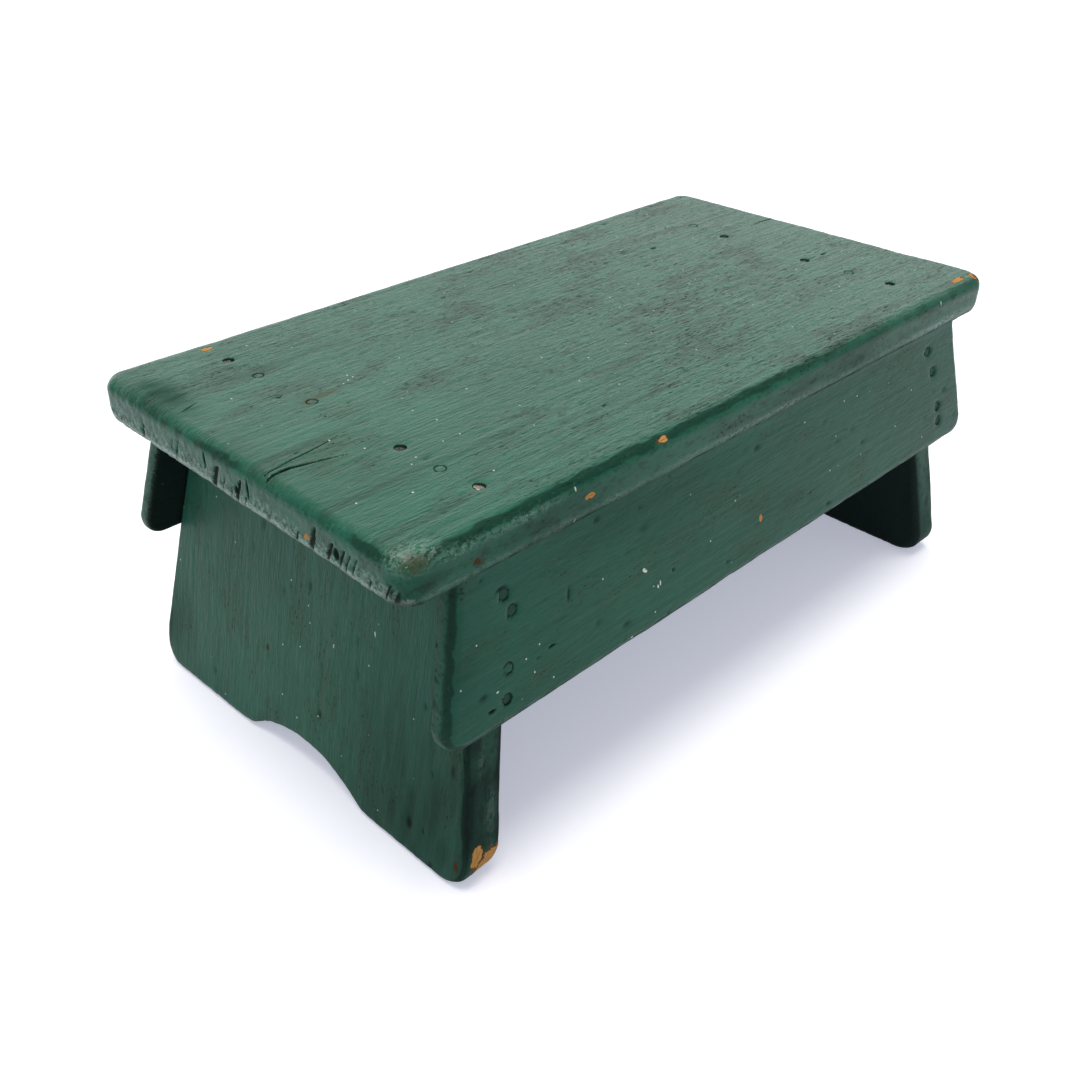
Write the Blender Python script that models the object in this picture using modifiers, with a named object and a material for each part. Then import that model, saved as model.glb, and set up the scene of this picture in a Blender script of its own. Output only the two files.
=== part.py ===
"""Country step stool: five painted pine boards held together with nails.

Metres, +Z up. The origin is on the floor under the middle of the seat. The seat's length runs
along X, and the front apron is at -Y. Two end boards stand as legs: they splay outwards along X
and widen towards the floor, so the aprons nailed to their edges lean outwards as well.
"""

from math import asin, cos, pi, radians, sin, tan

import bmesh
import bpy
from mathutils import Matrix, Vector

# Seat board
SEAT_LENGTH = 0.406
SEAT_WIDTH = 0.212
SEAT_THICKNESS = 0.020
SEAT_HEIGHT = 0.165
SEAT_CORNER_RADIUS = 0.008
SEAT_TOP_ROUND = 0.006
SEAT_UNDER_ROUND = 0.003

# End boards that stand as legs
LEG_THICKNESS = 0.020
LEG_INSET = 0.040
LEG_SPLAY = radians(11.3)
LEG_FLARE = radians(9.0)
LEG_ARRIS = 0.0025
FOOT_CORNER_RADIUS = 0.012
ARCH_WIDTH = 0.092
ARCH_RISE = 0.0125
ARCH_OFFSET = -0.005

# Aprons nailed over the edges of the end boards
APRON_THICKNESS = 0.010
APRON_DEPTH = 0.0675
APRON_SET_BACK = 0.0007
APRON_OVERHANG = 0.0165
APRON_END_SLANT = radians(14.2)
APRON_CORNER_RADIUS = 0.012
APRON_ARRIS = 0.003

# Wire nails, their heads punched a little below the paint
NAIL_HEAD_DIAMETER = 0.0048
NAIL_HEAD_THICKNESS = 0.0010
NAIL_SHANK_DIAMETER = 0.0020
NAIL_POINT_LENGTH = 0.0040
NAIL_SET_DEPTH = 0.0008
SEAT_NAIL_LENGTH = 0.038
APRON_NAIL_LENGTH = 0.022

# Hand-driven nails. Each place is a share of the joint and a drift off the leg's middle line:
# along a seat joint from the middle (0) to the rear edge of the leg (1) or its front edge (-1),
# and on an apron joint from the apron's top (0) to its bottom (1). A positive drift is outwards.
SEAT_NAILS = {
    "left": (
        (0.83, 0.0036), (0.59, 0.0029), (0.19, 0.0014), (-0.41, 0.0), (-0.66, -0.0002), (-0.87, -0.0021),
    ),
    "right": ((0.59, 0.0035), (0.33, 0.0012), (-0.26, 0.0001), (-0.55, 0.0008), (-0.81, 0.0016)),
}
APRON_NAILS = {
    ("front", "left"): ((0.18, 0.0021), (0.30, -0.0025), (0.63, -0.0012), (0.82, -0.0014)),
    ("front", "right"): ((0.13, -0.0032), (0.32, 0.0009), (0.64, 0.0034), (0.77, 0.0033)),
    ("rear", "left"): ((0.20, -0.0020), (0.36, 0.0012), (0.62, -0.0010), (0.82, 0.0014)),
    ("rear", "right"): ((0.17, 0.0010), (0.33, -0.0014), (0.66, 0.0016), (0.80, -0.0008)),
}

# Clearance between pieces that touch, and how far a cutter stands clear of the face it enters
FIT_GAP = 0.0003
CUTTER_CLEARANCE = 0.003
WELD_DISTANCE = 0.00003

# Roundness of the curves
CORNER_STEPS = 5
ARCH_STEPS = 12
SEAT_ROUND_SEGMENTS = 3
ARRIS_SEGMENTS = 2
NAIL_SIDES = 10
SMOOTH_ANGLE = radians(32.0)
SAME_PLANE_ANGLE = radians(0.1)

# Old green paint, paler on the worn seat, and painted iron
SEAT_GREEN = (0.052, 0.150, 0.112)
LEG_GREEN = (0.026, 0.082, 0.062)
APRON_GREEN = (0.028, 0.088, 0.068)
PAINT_ROUGHNESS = 0.38
NAIL_IRON = (0.020, 0.034, 0.030)
IRON_ROUGHNESS = 0.45
IRON_METALLIC = 0.6

# Worked out from the sizes above
SIDES = {"left": -1, "right": 1}
FACES = {"front": -1, "rear": 1}
UNDERSIDE = SEAT_HEIGHT - SEAT_THICKNESS
BOARD_TOP = UNDERSIDE - FIT_GAP
SPLAY_SLOPE = tan(LEG_SPLAY)
FLARE_SLOPE = tan(LEG_FLARE)
LEG_SPAN = LEG_THICKNESS / cos(LEG_SPLAY)
LEG_OUTER_TOP = SEAT_LENGTH / 2 - LEG_INSET
LEG_MIDDLE_TOP = LEG_OUTER_TOP - LEG_SPAN / 2
APRON_SPAN = APRON_THICKNESS / cos(LEG_FLARE)
APRON_OUTER_TOP = SEAT_WIDTH / 2 - APRON_SET_BACK
APRON_MIDDLE_TOP = APRON_OUTER_TOP - APRON_SPAN / 2
APRON_BOTTOM = UNDERSIDE - APRON_DEPTH
APRON_END_TOP = LEG_OUTER_TOP + APRON_OVERHANG
LEG_HALF_WIDTH_TOP = APRON_OUTER_TOP - APRON_SPAN - FIT_GAP


def clear_scene():
    for item in list(bpy.data.objects):
        bpy.data.objects.remove(item, do_unlink=True)


def add_collection(name):
    collection = bpy.data.collections.new(name)
    bpy.context.scene.collection.children.link(collection)
    return collection


def add_object(name, mesh, collection):
    item = bpy.data.objects.new(name, mesh)
    collection.objects.link(item)
    return item


def add_material(name, colour, roughness, metallic=0.0):
    material = bpy.data.materials.new(name)
    material.use_nodes = True
    shader = material.node_tree.nodes["Principled BSDF"]
    shader.inputs["Base Color"].default_value = (*colour, 1.0)
    shader.inputs["Roughness"].default_value = roughness
    shader.inputs["Metallic"].default_value = metallic
    return material


def mesh_of(item):
    """The evaluated mesh of an object, which is then removed."""
    depsgraph = bpy.context.evaluated_depsgraph_get()
    mesh = bpy.data.meshes.new_from_object(item.evaluated_get(depsgraph))
    bpy.data.objects.remove(item, do_unlink=True)
    return mesh


def rounded_outline(corners):
    """Points of a closed outline whose corners (x, y, radius) are replaced by arcs."""
    points = []
    for index, (x, y, radius) in enumerate(corners):
        corner = Vector((x, y))
        if radius == 0:
            points.append(corner)
            continue
        before = (Vector(corners[index - 1][:2]) - corner).normalized()
        after = (Vector(corners[(index + 1) % len(corners)][:2]) - corner).normalized()
        half_angle = before.angle(after) / 2
        centre = corner + (before + after).normalized() * radius / sin(half_angle)
        first_spoke = corner + before * radius / tan(half_angle) - centre
        last_spoke = corner + after * radius / tan(half_angle) - centre
        for step in range(CORNER_STEPS + 1):
            points.append(centre + radius * first_spoke.slerp(last_spoke, step / CORNER_STEPS))
    return points


def arch_corners():
    """Sharp corners along the arch sawn out between the feet, from the rear to the front."""
    radius = (ARCH_RISE ** 2 + (ARCH_WIDTH / 2) ** 2) / (2 * ARCH_RISE)
    half_angle = asin(ARCH_WIDTH / 2 / radius)
    corners = []
    for step in range(ARCH_STEPS + 1):
        angle = half_angle * (1 - 2 * step / ARCH_STEPS)
        corners.append((ARCH_OFFSET + radius * sin(angle), ARCH_RISE + radius * (cos(angle) - 1), 0))
    return corners


def flat_board(outline, thickness):
    """A board of this outline, lying in the XY plane with its thickness centred on it."""
    curve = bpy.data.curves.new("outline", "CURVE")
    curve.dimensions = "2D"
    curve.fill_mode = "BOTH"
    curve.extrude = thickness / 2
    spline = curve.splines.new("POLY")
    spline.points.add(len(outline) - 1)
    for point, (x, y) in zip(spline.points, outline):
        point.co = (x, y, 0, 1)
    spline.use_cyclic_u = True
    return mesh_of(add_object("outline", curve, bpy.context.scene.collection))


def round_arrises(mesh, upper_radius, lower_radius, segments, square_above=None):
    """Round the edges of a flat board's two faces, but not those at or above one level in Y."""
    form = bmesh.new()
    form.from_mesh(mesh)
    bmesh.ops.remove_doubles(form, verts=form.verts, dist=WELD_DISTANCE)
    bmesh.ops.dissolve_limit(form, angle_limit=SAME_PLANE_ANGLE, verts=form.verts, edges=form.edges)
    bmesh.ops.recalc_face_normals(form, faces=form.faces)
    for side, radius in ((1, upper_radius), (-1, lower_radius)):
        form.normal_update()
        outward = Vector((0, 0, side))
        broad = [face for face in form.faces if face.normal.angle(outward) < SAME_PLANE_ANGLE]
        edges = [edge for face in broad for edge in face.edges if edge.calc_face_angle(0) > SMOOTH_ANGLE]
        if square_above is not None:
            level = square_above - FIT_GAP
            edges = [edge for edge in edges if min(vert.co.y for vert in edge.verts) < level]
        bmesh.ops.bevel(form, geom=edges, offset=radius, offset_type="OFFSET", segments=segments,
                        profile=0.5, affect="EDGES")
    form.to_mesh(mesh)
    form.free()


def finish_board(name, mesh, collection, colour):
    mesh.materials.clear()
    mesh.materials.append(add_material(name + "_paint", colour, PAINT_ROUGHNESS))
    mesh.shade_smooth()
    mesh.set_sharp_from_angle(angle=SMOOTH_ANGLE)
    return add_object(name, mesh, collection)


def make_seat(collection):
    half_length = SEAT_LENGTH / 2
    half_width = SEAT_WIDTH / 2
    corners = [
        (half_length, half_width, SEAT_CORNER_RADIUS),
        (-half_length, half_width, SEAT_CORNER_RADIUS),
        (-half_length, -half_width, SEAT_CORNER_RADIUS),
        (half_length, -half_width, SEAT_CORNER_RADIUS),
    ]
    mesh = flat_board(rounded_outline(corners), SEAT_THICKNESS)
    round_arrises(mesh, SEAT_TOP_ROUND, SEAT_UNDER_ROUND, SEAT_ROUND_SEGMENTS)
    seat = finish_board("seat_board", mesh, collection, SEAT_GREEN)
    seat.location.z = SEAT_HEIGHT - SEAT_THICKNESS / 2
    return seat


def make_leg(side, collection):
    """An end board: its outline is drawn upright, then sheared so that it splays along X."""
    half_foot = LEG_HALF_WIDTH_TOP + FLARE_SLOPE * UNDERSIDE
    half_top = half_foot - FLARE_SLOPE * BOARD_TOP
    corners = [(half_top, BOARD_TOP, 0), (-half_top, BOARD_TOP, 0), (-half_foot, 0, FOOT_CORNER_RADIUS)]
    corners += reversed(arch_corners())
    corners += [(half_foot, 0, FOOT_CORNER_RADIUS)]
    mesh = flat_board(rounded_outline(corners), LEG_SPAN)
    round_arrises(mesh, LEG_ARRIS, LEG_ARRIS, ARRIS_SEGMENTS, square_above=BOARD_TOP)
    upright = Matrix(((0, 0, 1, 0), (1, 0, 0, 0), (0, 1, 0, 0), (0, 0, 0, 1)))
    splay = Matrix.Identity(4)
    splay[0][2] = -SIDES[side] * SPLAY_SLOPE
    mesh.transform(splay @ upright)
    leg = finish_board(side + "_leg_board", mesh, collection, LEG_GREEN)
    leg.location.x = SIDES[side] * (LEG_MIDDLE_TOP + SPLAY_SLOPE * UNDERSIDE)
    return leg


def make_apron(face, collection):
    """A side board: its outline is drawn upright, then sheared so that it leans along Y."""
    half_top = APRON_END_TOP
    half_bottom = APRON_END_TOP + tan(APRON_END_SLANT) * APRON_DEPTH
    corners = [
        (half_top, BOARD_TOP, 0),
        (-half_top, BOARD_TOP, 0),
        (-half_bottom, APRON_BOTTOM, APRON_CORNER_RADIUS),
        (half_bottom, APRON_BOTTOM, APRON_CORNER_RADIUS),
    ]
    mesh = flat_board(rounded_outline(corners), APRON_SPAN)
    round_arrises(mesh, APRON_ARRIS, APRON_ARRIS, ARRIS_SEGMENTS, square_above=BOARD_TOP)
    lean = Matrix.Identity(4)
    lean[1][2] = -FACES[face] * FLARE_SLOPE
    mesh.transform(lean @ Matrix.Rotation(pi / 2, 4, "X"))
    apron = finish_board(face + "_apron", mesh, collection, APRON_GREEN)
    apron.location.y = FACES[face] * (APRON_MIDDLE_TOP + FLARE_SLOPE * UNDERSIDE)
    return apron


def turned_nail(length, growth=0.0, above=0.0):
    """A nail along -Z with its head's top at the origin, grown all round to make its hole."""
    head = NAIL_HEAD_DIAMETER / 2 + growth
    shank = NAIL_SHANK_DIAMETER / 2 + growth
    under_head = -NAIL_HEAD_THICKNESS - growth
    profile = [
        (0, above),
        (head, above),
        (head, under_head),
        (shank, under_head),
        (shank, NAIL_POINT_LENGTH - length),
        (0, -length - growth),
    ]
    mesh = bpy.data.meshes.new("nail_profile")
    links = [(index, index + 1) for index in range(len(profile) - 1)]
    mesh.from_pydata([(radius, 0, height) for radius, height in profile], links, [])
    item = add_object("nail_profile", mesh, bpy.context.scene.collection)
    turn = item.modifiers.new("turn", "SCREW")
    turn.steps = NAIL_SIDES
    turn.render_steps = NAIL_SIDES
    turn.use_merge_vertices = True
    turn.merge_threshold = WELD_DISTANCE
    turned = mesh_of(item)
    bpy.data.meshes.remove(mesh)
    turned.shade_smooth()
    turned.set_sharp_from_angle(angle=SMOOTH_ANGLE)
    return turned


def seat_nail_places(side):
    """Head positions and turns of the nails that go down through the seat into one leg."""
    turn = (0, -SIDES[side] * LEG_SPLAY, 0)
    row_x = LEG_MIDDLE_TOP - SPLAY_SLOPE * SEAT_THICKNESS
    for share, drift in SEAT_NAILS[side]:
        point = Vector((SIDES[side] * (row_x + drift), share * LEG_HALF_WIDTH_TOP, SEAT_HEIGHT))
        into = Vector((SIDES[side] * sin(LEG_SPLAY), 0, -cos(LEG_SPLAY)))
        yield point + into * NAIL_SET_DEPTH, turn


def apron_nail_places(face, side):
    """Head positions and turns of the nails that go through an apron into a leg's edge."""
    turn = (FACES[face] * (LEG_FLARE - pi / 2), 0, 0)
    for share, drift in APRON_NAILS[face, side]:
        below = share * APRON_DEPTH
        x = LEG_MIDDLE_TOP + SPLAY_SLOPE * below + drift
        y = APRON_OUTER_TOP + FLARE_SLOPE * below
        point = Vector((SIDES[side] * x, FACES[face] * y, UNDERSIDE - below))
        into = Vector((0, -FACES[face] * cos(LEG_FLARE), -sin(LEG_FLARE)))
        yield point + into * NAIL_SET_DEPTH, turn


def nail_joint(name, places, nail_mesh, hole_mesh, boards, collection, cutters):
    """Drive a row of nails through the first board into the second, each in its own hole."""
    holes = bpy.data.collections.new(name + "_holes")
    cutters.children.link(holes)
    for number, (location, turn) in enumerate(places, start=1):
        nail = add_object(f"{name}_nail_{number}", nail_mesh, collection)
        hole = add_object(f"{name}_hole_{number}", hole_mesh, holes)
        hole.hide_render = True
        hole.display_type = "WIRE"
        for item in (nail, hole):
            item.location = location
            item.rotation_euler = turn
    for board in boards:
        drill = board.modifiers.new(name + "_holes", "BOOLEAN")
        drill.operation = "DIFFERENCE"
        drill.solver = "EXACT"
        drill.operand_type = "COLLECTION"
        drill.collection = holes


def make_nails(seat, legs, aprons, collection, cutters):
    iron = add_material("painted_iron", NAIL_IRON, IRON_ROUGHNESS, IRON_METALLIC)
    seat_nail = turned_nail(SEAT_NAIL_LENGTH)
    apron_nail = turned_nail(APRON_NAIL_LENGTH)
    seat_hole = turned_nail(SEAT_NAIL_LENGTH, FIT_GAP, CUTTER_CLEARANCE)
    apron_hole = turned_nail(APRON_NAIL_LENGTH, FIT_GAP, CUTTER_CLEARANCE)
    for nail in (seat_nail, apron_nail):
        nail.materials.append(iron)
    for side, leg in legs.items():
        nail_joint(f"seat_{side}", seat_nail_places(side), seat_nail, seat_hole,
                   (seat, leg), collection, cutters)
        for face, apron in aprons.items():
            nail_joint(f"{face}_apron_{side}", apron_nail_places(face, side), apron_nail, apron_hole,
                       (apron, leg), collection, cutters)


def main():
    clear_scene()
    collection = add_collection("step_stool")
    cutters = add_collection("step_stool_cutters")
    seat = make_seat(collection)
    legs = {side: make_leg(side, collection) for side in SIDES}
    aprons = {face: make_apron(face, collection) for face in FACES}
    make_nails(seat, legs, aprons, collection, cutters)
    origin = add_object("step_stool_origin", None, collection)
    bpy.context.view_layer.update()
    for item in collection.objects:
        if item is not origin:
            item.parent = origin


main()
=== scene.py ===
"""Country step stool in old green enamel: worn boards, driven nails and a plain studio.

The file is laid out as a Blender add-on. Metres, +Z up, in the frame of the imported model: the
seat's length runs along X, the front apron is at -Y and the floor is at Z = 0.
"""

from dataclasses import dataclass
from itertools import product
from math import cos, pi, radians, sin, tan

import bmesh
import bpy
import numpy as np
from bpy.props import FloatProperty, FloatVectorProperty, IntProperty, PointerProperty
from bpy.types import Operator, Panel, PropertyGroup
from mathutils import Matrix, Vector


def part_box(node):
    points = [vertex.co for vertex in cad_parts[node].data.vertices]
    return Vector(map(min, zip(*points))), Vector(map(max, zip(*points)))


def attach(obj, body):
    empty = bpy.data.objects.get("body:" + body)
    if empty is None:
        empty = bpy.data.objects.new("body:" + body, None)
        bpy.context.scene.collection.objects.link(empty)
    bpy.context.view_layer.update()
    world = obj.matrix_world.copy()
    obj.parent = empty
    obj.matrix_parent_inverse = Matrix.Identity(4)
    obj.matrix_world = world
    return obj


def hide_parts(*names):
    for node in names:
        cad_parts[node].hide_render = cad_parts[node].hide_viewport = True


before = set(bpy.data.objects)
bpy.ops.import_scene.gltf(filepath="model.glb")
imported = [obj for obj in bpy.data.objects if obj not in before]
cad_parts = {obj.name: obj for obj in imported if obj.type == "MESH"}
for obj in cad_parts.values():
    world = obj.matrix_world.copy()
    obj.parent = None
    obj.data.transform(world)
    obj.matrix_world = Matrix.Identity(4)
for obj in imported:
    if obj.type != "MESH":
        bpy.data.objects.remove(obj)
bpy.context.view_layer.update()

bl_info = {
    "name": "Painted Step Stool",
    "version": (1, 0, 0),
    "blender": (4, 5, 0),
    "location": "View3D > Sidebar > Step Stool",
    "description": "Builds a worn, green painted pine step stool over its packed frame",
    "category": "Object",
}

MM = 0.001
SIDES = {"left": -1, "right": 1}
FACES = {"front": -1, "rear": 1}

# Places taken from the frame
SEAT_LOW, SEAT_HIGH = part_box("seat_board")
SEAT_MIDDLE = (SEAT_LOW.z + SEAT_HIGH.z) / 2
BOARD_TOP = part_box("right_leg_board")[1].z
APRON_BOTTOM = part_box("rear_apron")[0].z

# How the lattice of each board is ruled, and how much closer round a mark
EDGE_LINE_STEP = 0.7 * MM
SEAT_LINE_STEPS = (2.9 * MM, 1.4 * MM, 1.0 * MM)
LEG_LINE_STEPS = (0.95 * MM, 2.3 * MM, 1.6 * MM)
APRON_LINE_STEPS = (1.7 * MM, 0.95 * MM, 1.4 * MM)
MARK_CUTS = 3
NAIL_CUTS = 2
END_CUTS = 1
FINEST_FACE = (0.3 * MM) ** 2
SHARP_ANGLE = radians(50.0)

# Seeded noises that shape the worn boards, as a step of the seed and a cell in millimetres: along
# the grain, across it and through the board, or alike on all sides
WEAR_NOISES = {
    "waves": (0, (75, 26, 30)), "raised_grain": (1, (60, 2.6, 3)), "ripples": (2, (7.5, 2.4, 3)),
    "knocks": (4, (11, 11, 11)), "nicks": (5, (4.2, 4.2, 4.2)), "slashes": (6, (1000, 1.9, 60)),
    "tears": (7, (4, 1.4, 2.2)), "blotches": (8, (12, 12, 12)), "slash_tops": (9, (1000, 3, 1000)),
    "streaks": (10, (14, 2.6, 4)), "crumbs": (11, (4, 1.3, 2.4)), "frays": (12, (5, 5, 5)),
    "breaks": (13, (21, 21, 21)),
}
DENT_SEED_STEP = 3
LEG_SEED_STEPS = {"left": 20, "right": 40}
APRON_SEED_STEPS = {"front": 70, "rear": 90}
NAIL_SEED_STEP = 200

# How far knocks and dirt reach in from an edge, and how deep a hollow is when the painted shade in it is
# quite dark
KNOCK_REACH = 5 * MM
DIRT_REACH = 2 * MM
FULL_SHADE_DEPTH = 0.6 * MM

# Fields kept on each board's points: those that its marks give, and those that its paint reads
BOARD_FIELDS = ("bare", "rust", "fleck", "thin", "chalk", "soil_and_shade", "shade_line_gap", "smooth")
PAINT_FIELDS = (
    "bare", "rust", "fleck", "thin", "grime_and_shade", "rubbed_and_highlit", "shaded_edge_line", "flowed", "polish", "smooth",
)
SMALL_MARKS = ("bare", "rust", "fleck", "dent")

# Patterns of the paint by their size along and across the grain, and by the height that they add,
# all in millimetres. Bristle strokes, pores and specks are about half as wide on the real stool,
# and are drawn as coarse as they need to be to show.
PAINT_PATTERNS = {
    "strokes": (70.0, 1.9), "ripples": (9.0, 1.8), "pores": (4.5, 1.0), "mottle": (60.0, 30.0),
    "patches": (40.0, 18.0), "specks": (2.4, 1.3), "ragged": (2.6, 1.6), "growth": (30.0, 0.6),
    "crumbs": (1.0, 0.7), "figure": (120.0, 7.0), "blots": (9.0, 5.0),
}
PAINT_RELIEF = {"strokes": 0.40, "ripples": 0.60, "pores": -0.45}
PATTERN_DETAIL = {"Scale": 1.0, "Detail": 3.0, "Roughness": 0.55}

# Spacing of the drops of spattered paint in millimetres, and the radii where one ends and is whole
DROP_SPACING = 15.0
DROP_RADII = (0.51, 0.27)

# Sizes of the blotches and pits on a nail's head in millimetres, and the depth of the pits
NAIL_BLOTCH = 1.4
NAIL_PIT = 0.5
NAIL_PIT_DEPTH = 0.1

# Settings that shader nodes share
SMOOTH = {"interpolation_type": "SMOOTHSTEP"}
COLOUR_MIX = {"data_type": "RGBA"}
TIMES = {"operation": "MULTIPLY"}
TIMES_PLUS = {"operation": "MULTIPLY_ADD"}
LARGER = {"operation": "MAXIMUM"}


def flecks(level, *spots):
    """Spatters of white paint on a board's outer face, each given by its place and half size."""
    return tuple(("fleck", (u, v, level), (half_u, half_v, 1.0), 0) for u, v, half_u, half_v in spots)


# Marks on the boards, as kind, place and half size in millimetres, and depth in millimetres or,
# for a stain, its strength. Places are along the board, across it and through its thickness.
# The stains are paint worn thin, paint rubbed to chalk, dirt or painted shade, a stretch of edge
# without its line of painted shade, and a face rubbed smooth.
STAINS = ("thin", "chalk", "soil_and_shade", "shade_line_gap", "smooth")
SEAT_MARKS = (
    ("bare", (-67, -105, 8.5), (5.2, 2.2, 2.2), 0.25),
    ("bare", (-111, -106, 0.5), (3.6, 1.8, 2.0), 0.2),
    ("rust", (-169, -106, -2.5), (4.0, 1.8, 2.6), 0.2),
    ("bare", (181, -99, 10), (8.0, 2.6, 2.0), 0.2),
    ("bare", (194, -101, 8), (4.2, 4.2, 5.0), 0.3),
    ("rust", (196, -102, 6), (4.6, 4.6, 6.0), 0.1),
    ("bare", (-153, 96, 10), (3.8, 2.4, 1.8), 0.15),
    ("smooth", (-190, -20, 10), (190.0, 220.0, 40.0), 0.9),
    # A stretch of the front edge without the line of painted shade
    ("shade_line_gap", (120, -106, 8), (150.0, 14.0, 14.0), 1.0),
    ("thin", (-196, -103, 7.5), (11.0, 8.0, 6.0), 0.6),
    ("chalk", (-196, -101, 9), (15.0, 10.0, 7.0), 0.7),
    ("chalk", (155, -106, -6), (46.0, 4.0, 4.0), 0.55),
    ("chalk", (-178, -105.5, 6), (16.0, 4.0, 3.2), 0.42),
    ("chalk", (-148, -106, 5.5), (34.0, 3.5, 2.6), 0.38),
    ("chalk", (20, -106, -7), (70.0, 3.0, 4.0), 0.3),
    ("thin", (-144, 20, 10), (13.0, 2.6, 1.5), 1.0),
    ("thin", (-152.5, 18.4, 10), (5.5, 3.2, 1.5), 1.0),
    ("soil_and_shade", (-193, 66, 9), (17.0, 44.0, 8.0), 0.65),
    ("soil_and_shade", (-196, 2, 10), (14.0, 34.0, 8.0), 0.3),
    # These two darken the seat's front face
    ("soil_and_shade", (-130, -106, -1), (120.0, 8.0, 13.0), 0.55),
    ("soil_and_shade", (60, -106, -1), (170.0, 8.0, 14.0), 0.5),
    ("soil_and_shade", (-190, -104, 0), (18.0, 8.0, 10.0), 0.7),
    ("bare", (-203, -50, -3), (1.4, 2.2, 1.6), 0.2),
    *flecks(10, (-126.6, 24.6, 0.9, 0.6), (-130, 23, 0.6, 0.5), (-123, 26, 0.7, 0.6),
            (-168, -69.5, 0.8, 0.7), (-173.5, -80, 0.6, 0.6), (-134, -47, 0.6, 0.7),
            (-155, -53, 0.5, 0.5)),
    ("dent", (165, -26, 10), (3.4, 1.0, 1.5), 0.7),
    ("dent", (104, 46, 10), (3.2, 1.5, 1.5), 0.5),
    ("dent", (-158, 31, 10), (2.4, 1.0, 1.5), 0.4),
    ("dent", (-64, -70, 10), (2.0, 1.0, 1.5), 0.4),
    ("dent", (-203, 19, 1.5), (2.4, 1.1, 5.0), 1.1),
    ("dent", (-203, -12, 1), (2.4, 1.1, 5.5), 1.1),
    ("dent", (-203, -3.5, -3), (2.4, 1.2, 3.4), 1.0),
    ("dent", (-203, -68, -2), (2.4, 2.2, 3.4), 1.2),
    ("soil_and_shade", (-200, -101, -5), (15.0, 15.0, 11.0), 0.6),
    ("bare", (120, 106, 4), (3.0, 1.5, 1.5), 0.2),
    ("rust", (203, 62, 2), (1.5, 2.6, 1.8), 0.2),
)
LEFT_LEG_MARKS = (
    ("bare", (-117, 8, -4), (9.0, 13.0, 11.0), 0.5),
    ("bare", (-116, 17, 4), (5.0, 8.0, 4.5), 0.4),
    ("chalk", (-114, 40, -3), (5.0, 26.0, 4.0), 0.7),
    ("chalk", (-111, 62, 2), (5.0, 20.0, 3.0), 0.6),
    ("soil_and_shade", (-90, 25, 8), (100.0, 100.0, 30.0), 0.7),
    ("soil_and_shade", (112, 25, 10), (34.0, 44.0, 20.0), 0.65),
    ("rust", (-110, 13, 10), (2.0, 3.6, 1.5), 0.2),
    ("rust", (25.5, 48, 10), (1.4, 2.2, 1.5), 0.1),
    *flecks(10, (40, 54, 0.6, 0.6), (1.5, 60, 0.8, 0.7), (-21.5, 72, 0.7, 0.8),
            (-27.5, 81, 0.6, 0.6), (-47, 90, 0.9, 0.5), (-79.5, 105, 0.6, 0.6)),
)
RIGHT_LEG_MARKS = (
    ("bare", (104, 5, 8), (7.0, 4.5, 5.0), 0.4),
    ("bare", (-58, 2, 9), (5.0, 3.0, 4.0), 0.4),
    ("soil_and_shade", (-114, 35, 0), (14.0, 60.0, 24.0), 0.35),
    ("rust", (31, 66, 10), (1.6, 2.6, 1.5), 0.2),
    *flecks(10, (12, 74, 0.7, 0.6), (-44, 58, 0.6, 0.6)),
)
FRONT_APRON_MARKS = (
    ("bare", (1.5, 99.5, 5), (1.6, 3.0, 1.5), 0.2),
    ("soil_and_shade", (-182, 112, 4), (26.0, 60.0, 14.0), 0.4),
    # Painted shade under the seat's overhang, along the apron's top
    ("soil_and_shade", (-90, 142, 5), (120.0, 26.0, 12.0), 0.3),
    ("soil_and_shade", (20, 100, 5), (60.0, 24.0, 12.0), 0.25),
    ("rust", (-66, 78, 3), (5.0, 1.6, 2.6), 0.3),
    ("rust", (14, 78, 3), (4.0, 1.4, 2.6), 0.3),
    ("rust", (72, 78, 3), (5.5, 1.6, 2.6), 0.3),
    ("dent", (-137, 100.5, 5), (3.2, 0.8, 1.5), 0.6),
    ("dent", (-144.5, 99, 5), (1.8, 0.6, 1.5), 0.4),
    ("dent", (-158.5, 135.6, 5), (5.6, 0.9, 1.5), 0.7),
    ("dent", (-171, 88.5, 5), (2.6, 1.1, 1.5), 0.6),
    ("dent", (-125, 118, 5), (1.1, 8.0, 1.5), 0.45),
    ("dent", (-62, 101, 5), (1.6, 1.4, 1.5), 0.4),
    ("dent", (-160, 79, 5), (1.6, 2.4, 2.0), 0.6),
    *flecks(5, (-163.7, 107, 0.7, 0.7), (-163, 101.7, 0.7, 0.8), (-147.5, 94, 0.6, 0.8),
            (-150, 92, 0.9, 0.8), (-167, 95.4, 0.6, 0.6), (-80.6, 109, 0.7, 1.8),
            (-79.2, 107.8, 0.6, 1.2), (-72.6, 97.4, 0.8, 1.6), (-71, 98.6, 0.7, 1.8),
            (-75.5, 99, 0.6, 0.7), (-91, 81.4, 1.1, 0.9)),
)
REAR_APRON_MARKS = (
    ("bare", (-88, 96, 5), (2.2, 1.2, 1.5), 0.2),
    ("bare", (136, 79, 3), (4.5, 2.2, 3.0), 0.3),
    ("dent", (47, 118, 5), (5.0, 0.8, 1.5), 0.4),
    ("dent", (-140, 109, 5), (3.0, 1.0, 1.5), 0.5),
    *flecks(5, (60, 102, 0.8, 0.8), (82, 91, 0.7, 0.9), (-31, 111, 0.7, 0.7)),
)

# Splits in the seat, as half width and depth in millimetres and the points that they run through
SEAT_CRACKS = (
    (1.1, 1.6, ((-202, -23.4), (-190, -23.0), (-182, -25.1), (-168, -29.4))),
    (0.5, 0.6, ((-200.6, -20.8), (-186.5, -18.5), (-171, -16.6), (-157, -13.8))),
    (0.45, 0.4, ((-195, 46.7), (-185, 50.7))),
    (0.5, 0.8, ((203, 31), (188, 33), (176, 32))),
)

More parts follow.
